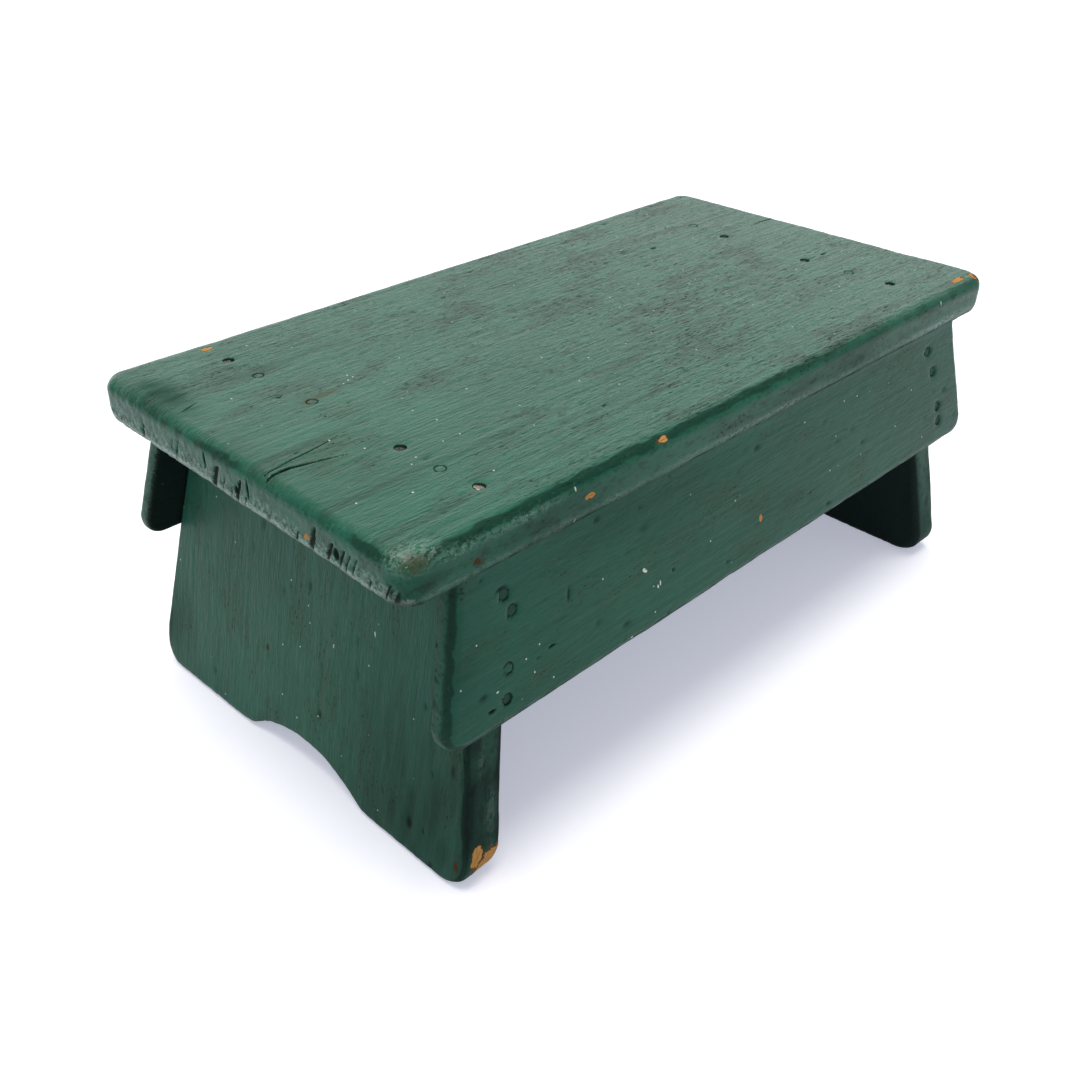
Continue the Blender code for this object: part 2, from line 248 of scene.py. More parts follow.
# Nails whose heads have lost their paint to rust, from 0 (painted over) to 1 (bare rusty iron)
WORN_NAIL_HEADS = {
    "seat_left_nail_1": 0.6, "seat_left_nail_4": 0.45, "seat_left_nail_6": 0.9,
    "seat_right_nail_2": 0.4, "seat_right_nail_3": 0.6, "seat_right_nail_5": 0.6,
    "front_apron_left_nail_1": 0.24, "front_apron_left_nail_2": 0.28, "front_apron_left_nail_4": 0.24,
    "front_apron_right_nail_1": 0.24, "front_apron_right_nail_2": 0.24,
    "front_apron_right_nail_3": 0.24, "front_apron_right_nail_4": 0.28,
    "rear_apron_left_nail_2": 0.3, "rear_apron_right_nail_3": 0.5,
}
PAINTED_NAIL_HEAD = 0.2

# Upper half of a nail's head, as shares of its radius and depths in millimetres
NAIL_HEAD_PROFILE = ((0.35, 0.0), (0.62, 0.0), (0.84, 0.06), (0.96, 0.18), (1.0, 0.36))
NAIL_SIDES = 32
HAMMER_DEPTH = 0.09 * MM
HAMMER_CELL = (1.7 * MM, 1.7 * MM, 1.7 * MM)

# Camera fitted to the photograph, which is square
CAMERA_PLACE = (-0.3958, -0.3603, 0.3822)
CAMERA_TURN = (radians(57.052), radians(-0.622), radians(-44.985))
CAMERA_LENS = 38.521
CAMERA_SENSOR = 36.0

# Where the key light stands, and the way to the bright wall that the gloss shows
SUN_PLACE = (0.0, 0.06, 1.0)
BACK_WALL = (0.71, 0.70, 0.0)
FLOOR_SIZE = 30.0
WHITE = (1.0, 1.0, 1.0, 1.0)


def linear_colour(code):
    """An sRGB hex code such as #2B5A49 as linear red, green and blue."""
    shares = [int(code[place:place + 2], 16) / 255 for place in (1, 3, 5)]
    return tuple(s / 12.92 if s <= 0.04045 else ((s + 0.055) / 1.055) ** 2.4 for s in shares)


def length_property(name, description, default):
    return FloatProperty(name=name, description=description, default=default, min=0.0, precision=4,
                         unit="LENGTH", subtype="DISTANCE")


def angle_property(name, description, degrees):
    return FloatProperty(name=name, description=description, default=radians(degrees), subtype="ANGLE")


def strength_property(name, description, default):
    return FloatProperty(name=name, description=description, default=default, min=0.0)


def colour_property(name, description, code):
    return FloatVectorProperty(name=name, description=description, default=linear_colour(code),
                               min=0.0, max=1.0, size=3, subtype="COLOR")


class StoolSizes(PropertyGroup):
    """Sizes of the boards' shaped edges and of the nails."""
    seat_corner_radius: length_property("Seat corner", "Radius of the seat's corners in plan", 11 * MM)
    seat_top_round: length_property("Seat top round", "Radius worn on the seat's top edge", 6 * MM)
    seat_under_round: length_property("Seat under round", "Height of the rounded lower edge", 6 * MM)
    seat_under_depth: length_property("Seat under depth", "Depth of the rounded lower edge", 2.2 * MM)
    leg_thickness: length_property("Leg thickness", "Thickness of the end boards", 20 * MM)
    leg_inset: length_property("Leg inset", "From the seat's end to the top of a leg", 40 * MM)
    leg_arris: length_property("Leg arris", "Radius of the end boards' edges", 4 * MM)
    foot_radius: length_property("Foot radius", "Radius of the end boards' lower corners", 17 * MM)
    arch_width: length_property("Arch width", "Width of the arch between the feet", 84 * MM)
    arch_rise: length_property("Arch rise", "Height of the arch between the feet", 14 * MM)
    arch_offset: length_property("Arch offset", "How far the arch sits towards the front", 6.5 * MM)
    arch_ease: length_property("Arch ease", "How softly the arch runs into the feet", 2.0 * MM)
    apron_thickness: length_property("Apron thickness", "Thickness of the side boards", 10 * MM)
    apron_set_back: length_property("Apron set back", "From the seat's edge to an apron", 0.7 * MM)
    apron_overhang: length_property("Apron overhang", "From a leg's top to the apron's end", 16.5 * MM)
    apron_arris: length_property("Apron arris", "Radius of the aprons' outer edges", 5.5 * MM)
    apron_back_arris: length_property("Apron back arris", "Radius of the aprons' inner edges", 2 * MM)
    apron_radius: length_property("Apron corner", "Radius of the aprons' lower corners", 12 * MM)
    fit_gap: length_property("Fit", "Clearance between boards that touch", 0.3 * MM)
    splay: angle_property("Splay", "Lean of the end boards", 11.3)
    flare: angle_property("Flare", "Lean of the end boards' edges", 9.0)
    end_slant: angle_property("End slant", "Lean of the aprons' ends", 14.2)
    nail_head: length_property("Nail head", "Diameter of a nail's head", 4.8 * MM)
    nail_head_thickness: length_property("Nail head thickness", "Thickness of a nail's head", 1 * MM)
    nail_shank: length_property("Nail shank", "Diameter of a nail's shank", 2 * MM)
    nail_point: length_property("Nail point", "Length of a nail's point", 4 * MM)


class StoolWear(PropertyGroup):
    """How uneven, knocked and worn the old boards are."""
    waviness: length_property("Waviness", "Height of the slow waves left by hand planing", 0.22 * MM)
    grain_relief: length_property("Raised grain", "Height of the raised pine grain", 0.10 * MM)
    ripple: length_property("Paint ripple", "Height of the ripples in the thick paint", 0.07 * MM)
    edge_knocks: length_property("Edge knocks", "Depth of the knocks along the edges", 0.7 * MM)
    end_grain: length_property("End grain", "Depth of the torn end grain", 0.9 * MM)
    dent_depth: length_property("Dents", "Depth of the deepest scattered dent", 0.35 * MM)
    dent_count: IntProperty(name="Dent count", description="Scattered dents on each board", default=70)
    twist: length_property("Leg twist", "How far the left leg's rear foot is turned out", 2.7 * MM)
    spread: length_property("Leg spread", "How far the left leg's feet stand out of true", 1.6 * MM)
    narrow: length_property("Foot narrowing", "How much the left leg's rear foot is narrower", 4.0 * MM)
    lean: length_property("Leg lean", "How far the right leg's top stands out of true", 4.0 * MM)
    skew: length_property("Seat skew", "How far the front right corner is out of square", 4.2 * MM)
    drop: length_property("Apron drop", "How much deeper the rear apron's left end is", 2.5 * MM)
    paint_lip: length_property("Paint lip", "Height of the paint that bridges a joint", 1.5 * MM)
    nail_ring: length_property("Nail ring", "Width of the open ring round a nail's head", 0.28 * MM)
    nail_floor: length_property("Nail dimple", "Depth of the dimple that holds a nail's head", 0.98 * MM)
    nail_bruise: length_property("Nail bruise", "Depth of the bruised wood round a nail", 0.2 * MM)
    seed: IntProperty(name="Seed", description="Seed of the scattered wear", default=7)


class StoolColours(PropertyGroup):
    """Colours of the paint, wood, dirt and iron."""
    seat_paint: colour_property("Seat paint", "Green enamel on the seat", "#255E4B")
    leg_paint: colour_property("Leg paint", "Green enamel on the end boards", "#295C4B")
    apron_paint: colour_property("Apron paint", "Green enamel on the aprons", "#225444")
    thin_paint: colour_property("Thin paint", "Brownish green where the paint is worn thin", "#3E4A30")
    # Pale colour of chalky paint, and also of painted highlights on edges and torn ends
    chalk_and_highlight_paint: colour_property("Rubbed paint", "Chalky paint rubbed pale along the edges", "#93AEA3")
    # Dark colour of dirt, and also of painted shade in hollows and on inner faces
    grime_and_shade: colour_property("Grime", "Dirt in hollows and out of reach", "#0B1413")
    bare_wood: colour_property("Bare pine", "Pine laid bare in a chip", "#C4904F")
    dark_wood: colour_property("Dark pine", "Late wood and the stained rim of a chip", "#6B431F")
    fleck: colour_property("Fleck", "Spatters of white paint", "#DCE3D6")
    iron: colour_property("Iron", "Scoured iron of the nails", "#BDB8AD")
    rust: colour_property("Rust", "Rust on bare iron and on stained wood", "#4A3118")


class StoolStage(PropertyGroup):
    """The plain studio."""
    floor_colour: colour_property("Floor", "Pale floor as it is seen", "#EFEFEF")
    bounce_colour: colour_property("Floor bounce", "Floor as it sends light back up", "#D2D4D8")
    glow_colour: colour_property("Floor glow", "Light in the paper that lifts the shadow", "#A1A3B1")
    sky_colour: colour_property("Fill light", "Soft light from all round", "#F2F5FC")
    sky_strength: strength_property("Fill strength", "Strength of the soft light", 0.5)
    sun_colour: colour_property("Key light", "Broad light from overhead", "#FFFBF4")
    sun_strength: strength_property("Key strength", "Strength of the broad light", 2.3)
    sun_width: angle_property("Key width", "How broad the light is", 40.0)


@dataclass
class Board:
    """A flat board in its own place: u along it, v across or up it, w through its thickness.

    The outer or upper face has the larger w. A board with a square top has no rounding at its
    highest v, where it meets the seat. The taper is the loss of half length for each metre of v.
    """
    half_length: float
    low: float
    high: float
    half_thickness: float
    corner_radius: float
    upper_round: float
    lower_round: float
    lower_depth: float
    line_steps: tuple
    square_top: bool = False
    taper: float = 0.0
    upright_grain: bool = False
    knocks: float = 1.0
    end_tear: float = 1.0
    # Share of the painted highlight on the lower edge and the torn ends
    highlight_share: float = 1.0
    edge_grime: float = 0.0
    # Share of painted shade, with some dirt, on the inner face
    inner_shade_and_grime: float = 0.0

    def half_length_at(self, v):
        return self.half_length - self.taper * (v - self.low)


def seat_form(sizes):
    return Board(
        half_length=SEAT_HIGH.x, low=SEAT_LOW.y, high=SEAT_HIGH.y,
        half_thickness=(SEAT_HIGH.z - SEAT_LOW.z) / 2, corner_radius=sizes.seat_corner_radius,
        upper_round=sizes.seat_top_round, lower_round=sizes.seat_under_round,
        lower_depth=sizes.seat_under_depth, line_steps=SEAT_LINE_STEPS, inner_shade_and_grime=0.5,
    )


def apron_span(sizes):
    """Thickness of a leaning apron on a level cut."""
    return sizes.apron_thickness / cos(sizes.flare)


def leg_span(sizes):
    """Thickness of a leaning end board on a level cut."""
    return sizes.leg_thickness / cos(sizes.splay)


def apron_outer_top(sizes):
    """How far from the middle an apron's outer face meets the seat."""
    return SEAT_HIGH.y - sizes.apron_set_back


def leg_outer_top(sizes):
    """How far from the middle an end board's outer face meets the seat."""
    return SEAT_HIGH.x - sizes.leg_inset


def leg_form(sizes):
    half_top = apron_outer_top(sizes) - apron_span(sizes) - sizes.fit_gap
    return Board(
        half_length=half_top + tan(sizes.flare) * SEAT_LOW.z, low=0.0, high=BOARD_TOP,
        half_thickness=leg_span(sizes) / 2, corner_radius=sizes.foot_radius,
        upper_round=sizes.leg_arris, lower_round=sizes.leg_arris, lower_depth=sizes.leg_arris,
        line_steps=LEG_LINE_STEPS, square_top=True, taper=tan(sizes.flare), upright_grain=True,
        knocks=0.8, end_tear=0.3, highlight_share=0.5, edge_grime=0.6, inner_shade_and_grime=0.9,
    )


def apron_form(sizes):
    depth = SEAT_LOW.z - APRON_BOTTOM
    return Board(
        half_length=leg_outer_top(sizes) + sizes.apron_overhang + tan(sizes.end_slant) * depth,
        low=APRON_BOTTOM, high=BOARD_TOP, half_thickness=apron_span(sizes) / 2,
        corner_radius=sizes.apron_radius, upper_round=sizes.apron_arris,
        lower_round=sizes.apron_back_arris, lower_depth=sizes.apron_back_arris,
        line_steps=APRON_LINE_STEPS, square_top=True, taper=tan(sizes.end_slant),
        knocks=0.7, end_tear=0.2, highlight_share=0.4, inner_shade_and_grime=0.9,
    )


def lattice_noise(points, cell, seed):
    """Smooth seeded noise from -1 to 1 with one random value for each cell of this size.

    The value is the number of the cell and the seed, scrambled by large odd multipliers.
    """
    scaled = points / np.asarray(cell)
    corner = np.floor(scaled).astype(np.int64)
    part = scaled - corner
    ease = part * part * (3 - 2 * part)
    total = np.zeros(len(points))
    for step in product((0, 1), repeat=3):
        spot = (corner + step) * (73856093, 19349663, 83492791)
        mixed = (spot[:, 0] ^ spot[:, 1] ^ spot[:, 2] ^ (seed * 2654435761)) & 0xFFFFFFFF
        for shift, multiplier in ((15, 2246822519), (13, 3266489917)):
            mixed = ((mixed ^ (mixed >> shift)) * multiplier) & 0xFFFFFFFF
        value = ((mixed ^ (mixed >> 16)) & 0xFFFF) / 32767.5 - 1
        total += value * np.prod(np.where(step, ease, 1 - ease), axis=1)
    return total


def wear_noise(label, points, seed):
    """One of the noises that shape the worn boards."""
    step, cell = WEAR_NOISES[label]
    return lattice_noise(points, np.multiply(cell, MM), seed + step)


def smooth_step(value, start, end):
    share = np.clip((value - start) / (end - start), 0, 1)
    return share * share * (3 - 2 * share)


def spaced_lines(low, high, step, low_zone, high_zone):
    """Places of lattice lines, closer together inside the two end zones."""
    counts = [max(1, round(zone / EDGE_LINE_STEP)) for zone in (low_zone, high_zone)]
    middle = max(1, round((high - low - low_zone - high_zone) / step))
    return np.unique(np.concatenate([
        np.linspace(low, low + low_zone, counts[0] + 1)[:-1],
        np.linspace(low + low_zone, high - high_zone, middle + 1)[:-1],
        np.linspace(high - high_zone, high, counts[1] + 1),
    ]))


def lattice_shell(lines):
    """Points and outward quads of a block whose six sides are ruled by three sets of lines."""
    counts = [len(line) for line in lines]
    grid = np.stack(np.meshgrid(*lines, indexing="ij"), axis=-1)
    shell = np.ones(counts, bool)
    shell[1:-1, 1:-1, 1:-1] = False
    number = np.full(counts, -1)
    number[shell] = np.arange(shell.sum())
    quads = []
    for axis in range(3):
        sheets = np.moveaxis(number, axis, 0)
        for side in (0, -1):
            sheet = sheets[side]
            quad = np.stack([sheet[:-1, :-1], sheet[1:, :-1], sheet[1:, 1:], sheet[:-1, 1:]], axis=-1)
            outward = (side == -1) != (axis == 1)
            quads.append(quad.reshape(-1, 4)[:, ::1 if outward else -1])
    return grid[shell], np.concatenate(quads)


def ruled_block(board):
    """The square block that a board is shaped from, ruled closer where its edges get rounded."""
    half, zone = board.half_thickness, max(board.corner_radius, board.upper_round)
    u_step, v_step, w_step = board.line_steps
    return lattice_shell((
        spaced_lines(-board.half_length, board.half_length, u_step, zone, zone),
        spaced_lines(board.low, board.high, v_step, zone, 0 if board.square_top else zone),
        spaced_lines(-half, half, w_step, board.lower_round, board.upper_round),
    ))


def cut_finer(form, spots, cuts):
    """Cut the lattice finer round small spots, each a place and a reach along u, v and w."""
    form.faces.ensure_lookup_table()
    centres = np.array([face.calc_center_median() for face in form.faces])
    near = np.zeros(len(centres), bool)
    for place, reach in spots:
        near |= np.linalg.norm((centres - place) / reach, axis=1) < 1
    near &= np.array([len(face.verts) == 4 for face in form.faces])
    near &= np.array([face.calc_area() > FINEST_FACE for face in form.faces])
    edges = {edge for index in np.flatnonzero(near) for edge in form.faces[index].edges}
    bmesh.ops.subdivide_edges(form, edges=list(edges), cuts=cuts, use_grid_fill=True)


def bend_corner(out, up):
    """Two lengths out from the inner point of a square corner, bent so that its rim is an arc."""
    inside = (out > 0) & (up > 0)
    reach = np.maximum(np.hypot(out, up), 1e-9)
    scale = np.where(inside, np.maximum(out, up) / reach, 1.0)
    return out * scale, up * scale, inside


def shape_board(board, block):
    """Round a ruled block's corners and edges, and taper it. Also gives the way in from its rim."""
    u, v, w = block.T
    gap_u = board.half_length - np.abs(u)
    gap_v = v - board.low
    if not board.square_top:
        gap_v = np.minimum(gap_v, board.high - v)
    gap = np.minimum(gap_u, gap_v)
    radius = np.where(w > 0, board.upper_round, board.lower_round)
    stretch = np.where(w > 0, 1.0, board.lower_round / board.lower_depth)
    face = board.half_thickness - radius
    out, up, rounded = bend_corner(radius - gap * stretch, np.abs(w) - face)
    new_gap = np.where(rounded, (radius - out) / stretch, gap)
    new_w = np.where(rounded, np.sign(w) * (face + up), w)
    corner_u = board.corner_radius - gap_u
    corner_v = board.corner_radius - gap_v
    in_corner = (corner_u > 0) & (corner_v > 0)
    spoke = np.maximum(np.hypot(corner_u, corner_v), 1e-9)
    arm = (board.corner_radius - new_gap) / spoke
    end_nearer = gap_u <= gap_v
    new_gap_u = np.where(in_corner, board.corner_radius - arm * corner_u,
                         np.where(end_nearer, new_gap, gap_u))
    new_gap_v = np.where(in_corner, board.corner_radius - arm * corner_v,
                         np.where(end_nearer, gap_v, new_gap))
    new_u = np.sign(u) * (board.half_length - new_gap_u)
    upper = (not board.square_top) & (v > (board.low + board.high) / 2)
    new_v = np.where(upper, board.high - new_gap_v, board.low + new_gap_v)
    new_u *= board.half_length_at(new_v) / board.half_length
    return np.stack([new_u, new_v, new_w], axis=1), new_gap


def lift_arch(own, sizes):
    """Raise the lower edge of an end board into the arch between its feet."""
    half = sizes.arch_width / 2
    radius = (sizes.arch_rise ** 2 + half ** 2) / (2 * sizes.arch_rise)
    off_middle = np.clip(own[:, 0] + sizes.arch_offset, -1.4 * half, 1.4 * half)
    rise = np.sqrt(radius ** 2 - off_middle ** 2) - (radius - sizes.arch_rise)
    eased = (rise + np.hypot(rise, sizes.arch_ease)) / 2
    fade = np.clip(1 - own[:, 1] / (4 * sizes.arch_rise), 0, 1) ** 2
    own[:, 1] += eased * fade


def fibre_place(board, own):
    """Places along the grain, across it and through the board."""
    order = (1, 0, 2) if board.upright_grain else (0, 1, 2)
    return own[:, order]


def mark_field(own, place, size):
    """1 in the middle of a mark, falling to 0 at its rim."""
    away = np.linalg.norm((own - np.multiply(place, MM)) / np.multiply(size, MM), axis=1)
    return np.clip(1 - away, 0, 1)


def crack_field(own, points, width):
    """How far into a crack of the upper face each place lies: 1 on its line and 0 at its rim."""
    path = np.multiply(points, MM)
    field = np.zeros(len(own))
    stations = np.linspace(0, 1, len(path))
    for index in range(len(path) - 1):
        start, end = path[index], path[index + 1]
        run = end - start
        share = np.clip((own[:, :2] - start) @ run / (run @ run), 0, 1)
        away = np.linalg.norm(own[:, :2] - start - share[:, None] * run, axis=1)
        along = stations[index] + share * (stations[index + 1] - stations[index])
        open_width = width * MM * np.clip(1 - 0.8 * (2 * along - 0.8) ** 2, 0.1, 1)
        field = np.maximum(field, np.clip(1 - away / open_width, 0, 1))
    return field * smooth_step(own[:, 2], 0.75 * own[:, 2].max(), 0.95 * own[:, 2].max())


def scattered_dents(board, own, wear, seed):
    """Depth of small bowls scattered over both faces of a board, longer along the grain."""
    chance = np.random.default_rng(seed)
    depth = np.zeros(len(own))
    fibre = fibre_place(board, own)
    low, high = fibre.min(axis=0), fibre.max(axis=0)
    for _ in range(wear.dent_count):
        place = low + chance.random(3) * (high - low)
        place[2] = high[2] if chance.random() < 0.7 else low[2]
        reach = (0.8 + 2.2 * chance.random() ** 2) * MM
        deep = wear.dent_depth * (0.3 + 0.7 * chance.random())
        away = np.linalg.norm((fibre - place) / (1.7 * reach, reach, 3 * reach), axis=1)
        depth = np.maximum(depth, deep * (1 - smooth_step(away, 0.1, 1)))
    return depth


def planed_face(board, own, fibre, gap, wear, seed):
    """Height of the hand planed and painted faces, with the knocks along their edges."""
    relief = wear.waviness * wear_noise("waves", fibre, seed)
    relief += wear.grain_relief * wear_noise("raised_grain", fibre, seed)
    relief += wear.ripple * wear_noise("ripples", fibre, seed)
    arris = gap + board.half_thickness - np.abs(own[:, 2])
    arris_share = np.exp(-(arris / KNOCK_REACH) ** 2)
    knock = np.clip(wear_noise("knocks", own, seed) - 0.1, 0, 1)
    knock += 0.4 * np.clip(wear_noise("nicks", own, seed), 0, 1)
    return relief - board.knocks * wear.edge_knocks * knock * arris_share


@dataclass
class TornEnd:
    """Torn end grain over a board's points: slashes and tears in metres, and shares from 0 to 1."""
    slash_depth: np.ndarray
    tear_height: np.ndarray
    crumbled: np.ndarray
    lower: np.ndarray
    face: np.ndarray
    near: np.ndarray


def torn_end(board, own, fibre, wear, seed):
    """Slanting slashes in the lower half of a sawn end, and the crumbled grain between them."""
    u, v, w = own.T
    level = w / board.half_thickness
    past_end = board.low - v if board.upright_grain else np.abs(u) - board.half_length_at(v)
    on_end = smooth_step(past_end, -2.6 * MM, -0.6 * MM)
    slanted = fibre + fibre[:, 2:] * (0.0, 0.45, 0.0)
    crumbled = wear_noise("crumbs", slanted, seed)
    lower = smooth_step(0.25 * crumbled - level, 0, 0.4)
    face = board.end_tear * on_end * lower
    slash_top = 0.1 + 0.5 * wear_noise("slash_tops", slanted, seed)
    slash = smooth_step(wear_noise("slashes", slanted, seed), 0.42, 0.72)
    slash *= smooth_step(slash_top - level, 0, 0.2) * smooth_step(level, -0.9, -0.6)
    return TornEnd(
        slash_depth=board.end_tear * wear.end_grain * slash * on_end,
        tear_height=0.3 * wear.end_grain * face * wear_noise("tears", fibre, seed),
        crumbled=crumbled, lower=lower, face=face, near=smooth_step(past_end, -8 * MM, -4 * MM),
    )


def press_marks(own, marks, cracks):
    """Depth of a board's dents and splits, depth of its chips, and the fields of all its marks."""
    fields = {label: np.zeros(len(own)) for label in BOARD_FIELDS}
    pressed = np.zeros(len(own))
    chipped = np.zeros(len(own))
    for kind, place, size, depth in marks:
        field = mark_field(own, place, size)
        if kind == "dent":
            pressed = np.maximum(pressed, depth * MM * smooth_step(field, 0, 0.8))
        elif kind in STAINS:
            fields[kind] = np.maximum(fields[kind], depth * field)
        else:
            fields[kind] = np.maximum(fields[kind], field)
            chipped += depth * MM * smooth_step(field, 0.25, 0.6)
    for width, depth, points in cracks:
        split = smooth_step(crack_field(own, points, width), 0, 0.8)
        pressed = np.maximum(pressed, depth * MM * split)
    return pressed, chipped, fields


def sink_nails(own, nails, wear, head_radius):
    """Depth of the dimples that hold a board's nails, and of the bruised wood round them.

    A worn head lies in an open ring. Paint has closed the ring of the others to a faint groove.
    """
    ring = head_radius + wear.nail_ring
    sunk = np.zeros(len(own))
    bruised = np.zeros(len(own))
    for place_u, place_v, worn in nails:
        away = np.hypot(own[:, 0] - place_u, own[:, 1] - place_v)
        away = np.where(own[:, 2] > 0, away, 1.0)
        if worn > PAINTED_NAIL_HEAD:
            bruised += wear.nail_bruise * (1 - smooth_step(away, ring, 2.2 * ring))
            dimple = 1 - smooth_step(away, ring - 0.35 * MM, ring + 0.15 * MM)
        else:
            bruised += 0.5 * wear.nail_bruise * (1 - smooth_step(away, head_radius - 0.2 * MM, ring))
            dimple = 0.55 * np.exp(-((away - head_radius) / (0.28 * MM)) ** 2)
        sunk = np.maximum(sunk, wear.nail_floor * dimple)
    return sunk, bruised


def gather_paint(board, own, fibre, gap, hollow, end, fields, seed):
    """Turn a board's marks, hollows and edges into the fields that its paint reads."""
    w = own[:, 2]
    half = board.half_thickness
    blotch = 0.5 + 0.5 * wear_noise("blotches", own, seed)
    # The inner face gets painted shade with some dirt, and the rims of some boards get dirt.
    inner = board.inner_shade_and_grime * smooth_step(-w, 0.5 * half, half)
    flank = board.edge_grime * blotch * np.exp(-(gap / DIRT_REACH) ** 2)
    streaks = 0.5 + 0.5 * wear_noise("streaks", fibre, seed)
    # Dirt stains, and painted shade where a stain stands in for shade
    soiled_and_shaded = fields.pop("soil_and_shade") * (0.78 + 0.24 * smooth_step(streaks, 0.3, 0.75))

    # The lower edge and the ridges of the torn end get a pale painted highlight, and the pits
    # between the ridges get painted shade. The ridge is 0 on the lower edge and 1 where its rounding
    # ends. The chalk stains add paint that is really rubbed pale.
    ridge = gap / board.lower_depth + (half + w) / board.lower_round + 0.1 * end.crumbled
    pitted = 0.75 * end.face * smooth_step(-end.crumbled, -0.1, 0.5) * smooth_step(ridge, 0.8, 1.1)
    # Hollows are darkened by their depth as painted shade, and dirt and the inner faces add to it.
    fields["grime_and_shade"] = np.clip(hollow / FULL_SHADE_DEPTH + inner + flank + soiled_and_shaded + pitted, 0, 1)
    # Painted highlight along the lower edge and on the ridges of the torn end
    worn = end.lower * (1 - smooth_step(ridge, 0.62, 0.98 - 0.12 * end.near))
    worn *= (0.25 + 0.9 * end.near) * (0.4 + 0.9 * blotch)
    frayed = 0.5 * end.face * smooth_step(end.crumbled, -0.1, 0.4)
    fields["rubbed_and_highlit"] = np.clip(board.highlight_share * np.maximum(worn, frayed) + fields.pop("chalk"), 0, 1)

    # The rounded upper edge gets a line of painted shade, broken along its length, and the paint
    # flowed smooth below it. The turn is the slant of the rounded edge in degrees, frayed along its
    # length.
    over_edge = np.clip(1 - gap / board.upper_round, 0, 1)
    over_face = np.clip(1 - (half - w) / board.upper_round, 0, 1)
    turn = np.degrees(np.arctan2(over_edge, over_face + 1e-6)) - 14 * end.near
    turn += 9 * wear_noise("frays", own, seed) + 6 * end.crumbled
    broken = smooth_step(wear_noise("breaks", own, seed), -0.1, 0.5)
    line = smooth_step(turn, 10, 32) * (1 - smooth_step(turn, 44, 72))
    line *= 1 - board.end_tear * end.near * (1 - broken)
    fields["shaded_edge_line"] = line * (1 - fields.pop("shade_line_gap"))
    fields["flowed"] = smooth_step(turn, 22, 48) * (1 - end.face)
    fields["polish"] = smooth_step(w, 0.6 * half, 0.95 * half)


def wear_board(board, own, gap, wear, marks, cracks, nails, seed, head_radius):
    """Height of the worn surface over the true one, and the fields that colour it."""
    fibre = fibre_place(board, own)
    end = torn_end(board, own, fibre, wear, seed)
    pressed, chipped, fields = press_marks(own, marks, cracks)
    sunk, bruised = sink_nails(own, nails, wear, head_radius)
    dents = scattered_dents(board, own, wear, seed + DENT_SEED_STEP)
    hollow = np.maximum.reduce([dents + end.slash_depth, pressed, sunk])
    relief = planed_face(board, own, fibre, gap, wear, seed) + end.tear_height - chipped - bruised
    gather_paint(board, own, fibre, gap, hollow, end, fields, seed)
    return relief - hollow, fields


def mark_spots(marks, cracks, half_thickness):
    """Where a board's lattice has to be finer for its marks."""
    spots = []
    for kind, place, size, _ in marks:
        if kind in SMALL_MARKS:
            spots.append((np.multiply(place, MM), np.multiply(size, MM) + 1.5 * MM))
    for _, _, points in cracks:
        path = np.multiply(points, MM)
        for start, end in zip(path[:-1], path[1:]):
            for share in np.linspace(0, 1, 12):
                place = (*(start + share * (end - start)), half_thickness)
                spots.append((np.array(place), np.full(3, 2.0 * MM)))
    return spots


def nail_spots(nails, head_radius, half_thickness):
    """Where a board's lattice has to be finer for its nails."""
    reach = np.full(3, head_radius + 1.5 * MM)
    return [(np.array((place_u, place_v, half_thickness)), reach) for place_u, place_v, _ in nails]


def rim_spots(nails, head_radius, half_thickness):
    """Where a board's lattice has to be finer still, round the rims of its nail heads."""
    spots = []
    for place_u, place_v, _ in nails:
        for turn in np.linspace(0, 2 * pi, 24, endpoint=False):
            rim = (place_u + head_radius * cos(turn), place_v + head_radius * sin(turn), half_thickness)
            spots.append((np.array(rim), np.full(3, 0.7 * MM)))
    return spots


def end_spots(board):
    """Where a board's lattice has to be finer for its torn ends."""
    middle = (board.low + board.high) / 2
    reach = np.array((0.5 * MM, 10.0, 10.0))
    return [(np.array((side * board.half_length, middle, 0.0)), reach) for side in SIDES.values()]


def nail_pose(node):
    """Middle of a nail's head and the way it points, from its CAD solid."""
    points = np.array([vert.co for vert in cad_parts[node].data.vertices])
    middle = points.mean(axis=0)
    axis = np.linalg.svd(points - middle, full_matrices=False)[2][0]
    along = (points - middle) @ axis
    spread = np.linalg.norm(points - middle - along[:, None] * axis, axis=1)
    if along[spread.argmax()] > 0:
        axis, along = -axis, -along
    head = points[along < along.min() + 0.1 * MM].mean(axis=0)
    return head, axis, along.max() - along.min()


def nails_of(prefix):
    """Names of the nails whose names begin so, in order."""
    names = sorted(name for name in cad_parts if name.startswith(prefix) and "_nail_" in name)
    if not names:
        raise RuntimeError(f"The frame has no nails that begin with {prefix!r}")
    return names


def head_wear(node):
    """How much of its paint a nail's head has lost."""
    return WORN_NAIL_HEADS.get(node, PAINTED_NAIL_HEAD)


def add_piece(name, mesh, node, material):
    """Put a finished piece in the scene, in the place of its CAD node."""
    mesh.materials.append(material)
    piece = bpy.data.objects.new(name, mesh)
    bpy.context.scene.collection.objects.link(piece)
    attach(piece, "root")
    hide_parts(node)


def keep_field(mesh, label, values):
    """Keep a value on each point of a mesh, for its material to read."""
    field = mesh.attributes.new(label, "FLOAT", "POINT")
    field.data.foreach_set("value", values.astype(np.float32))


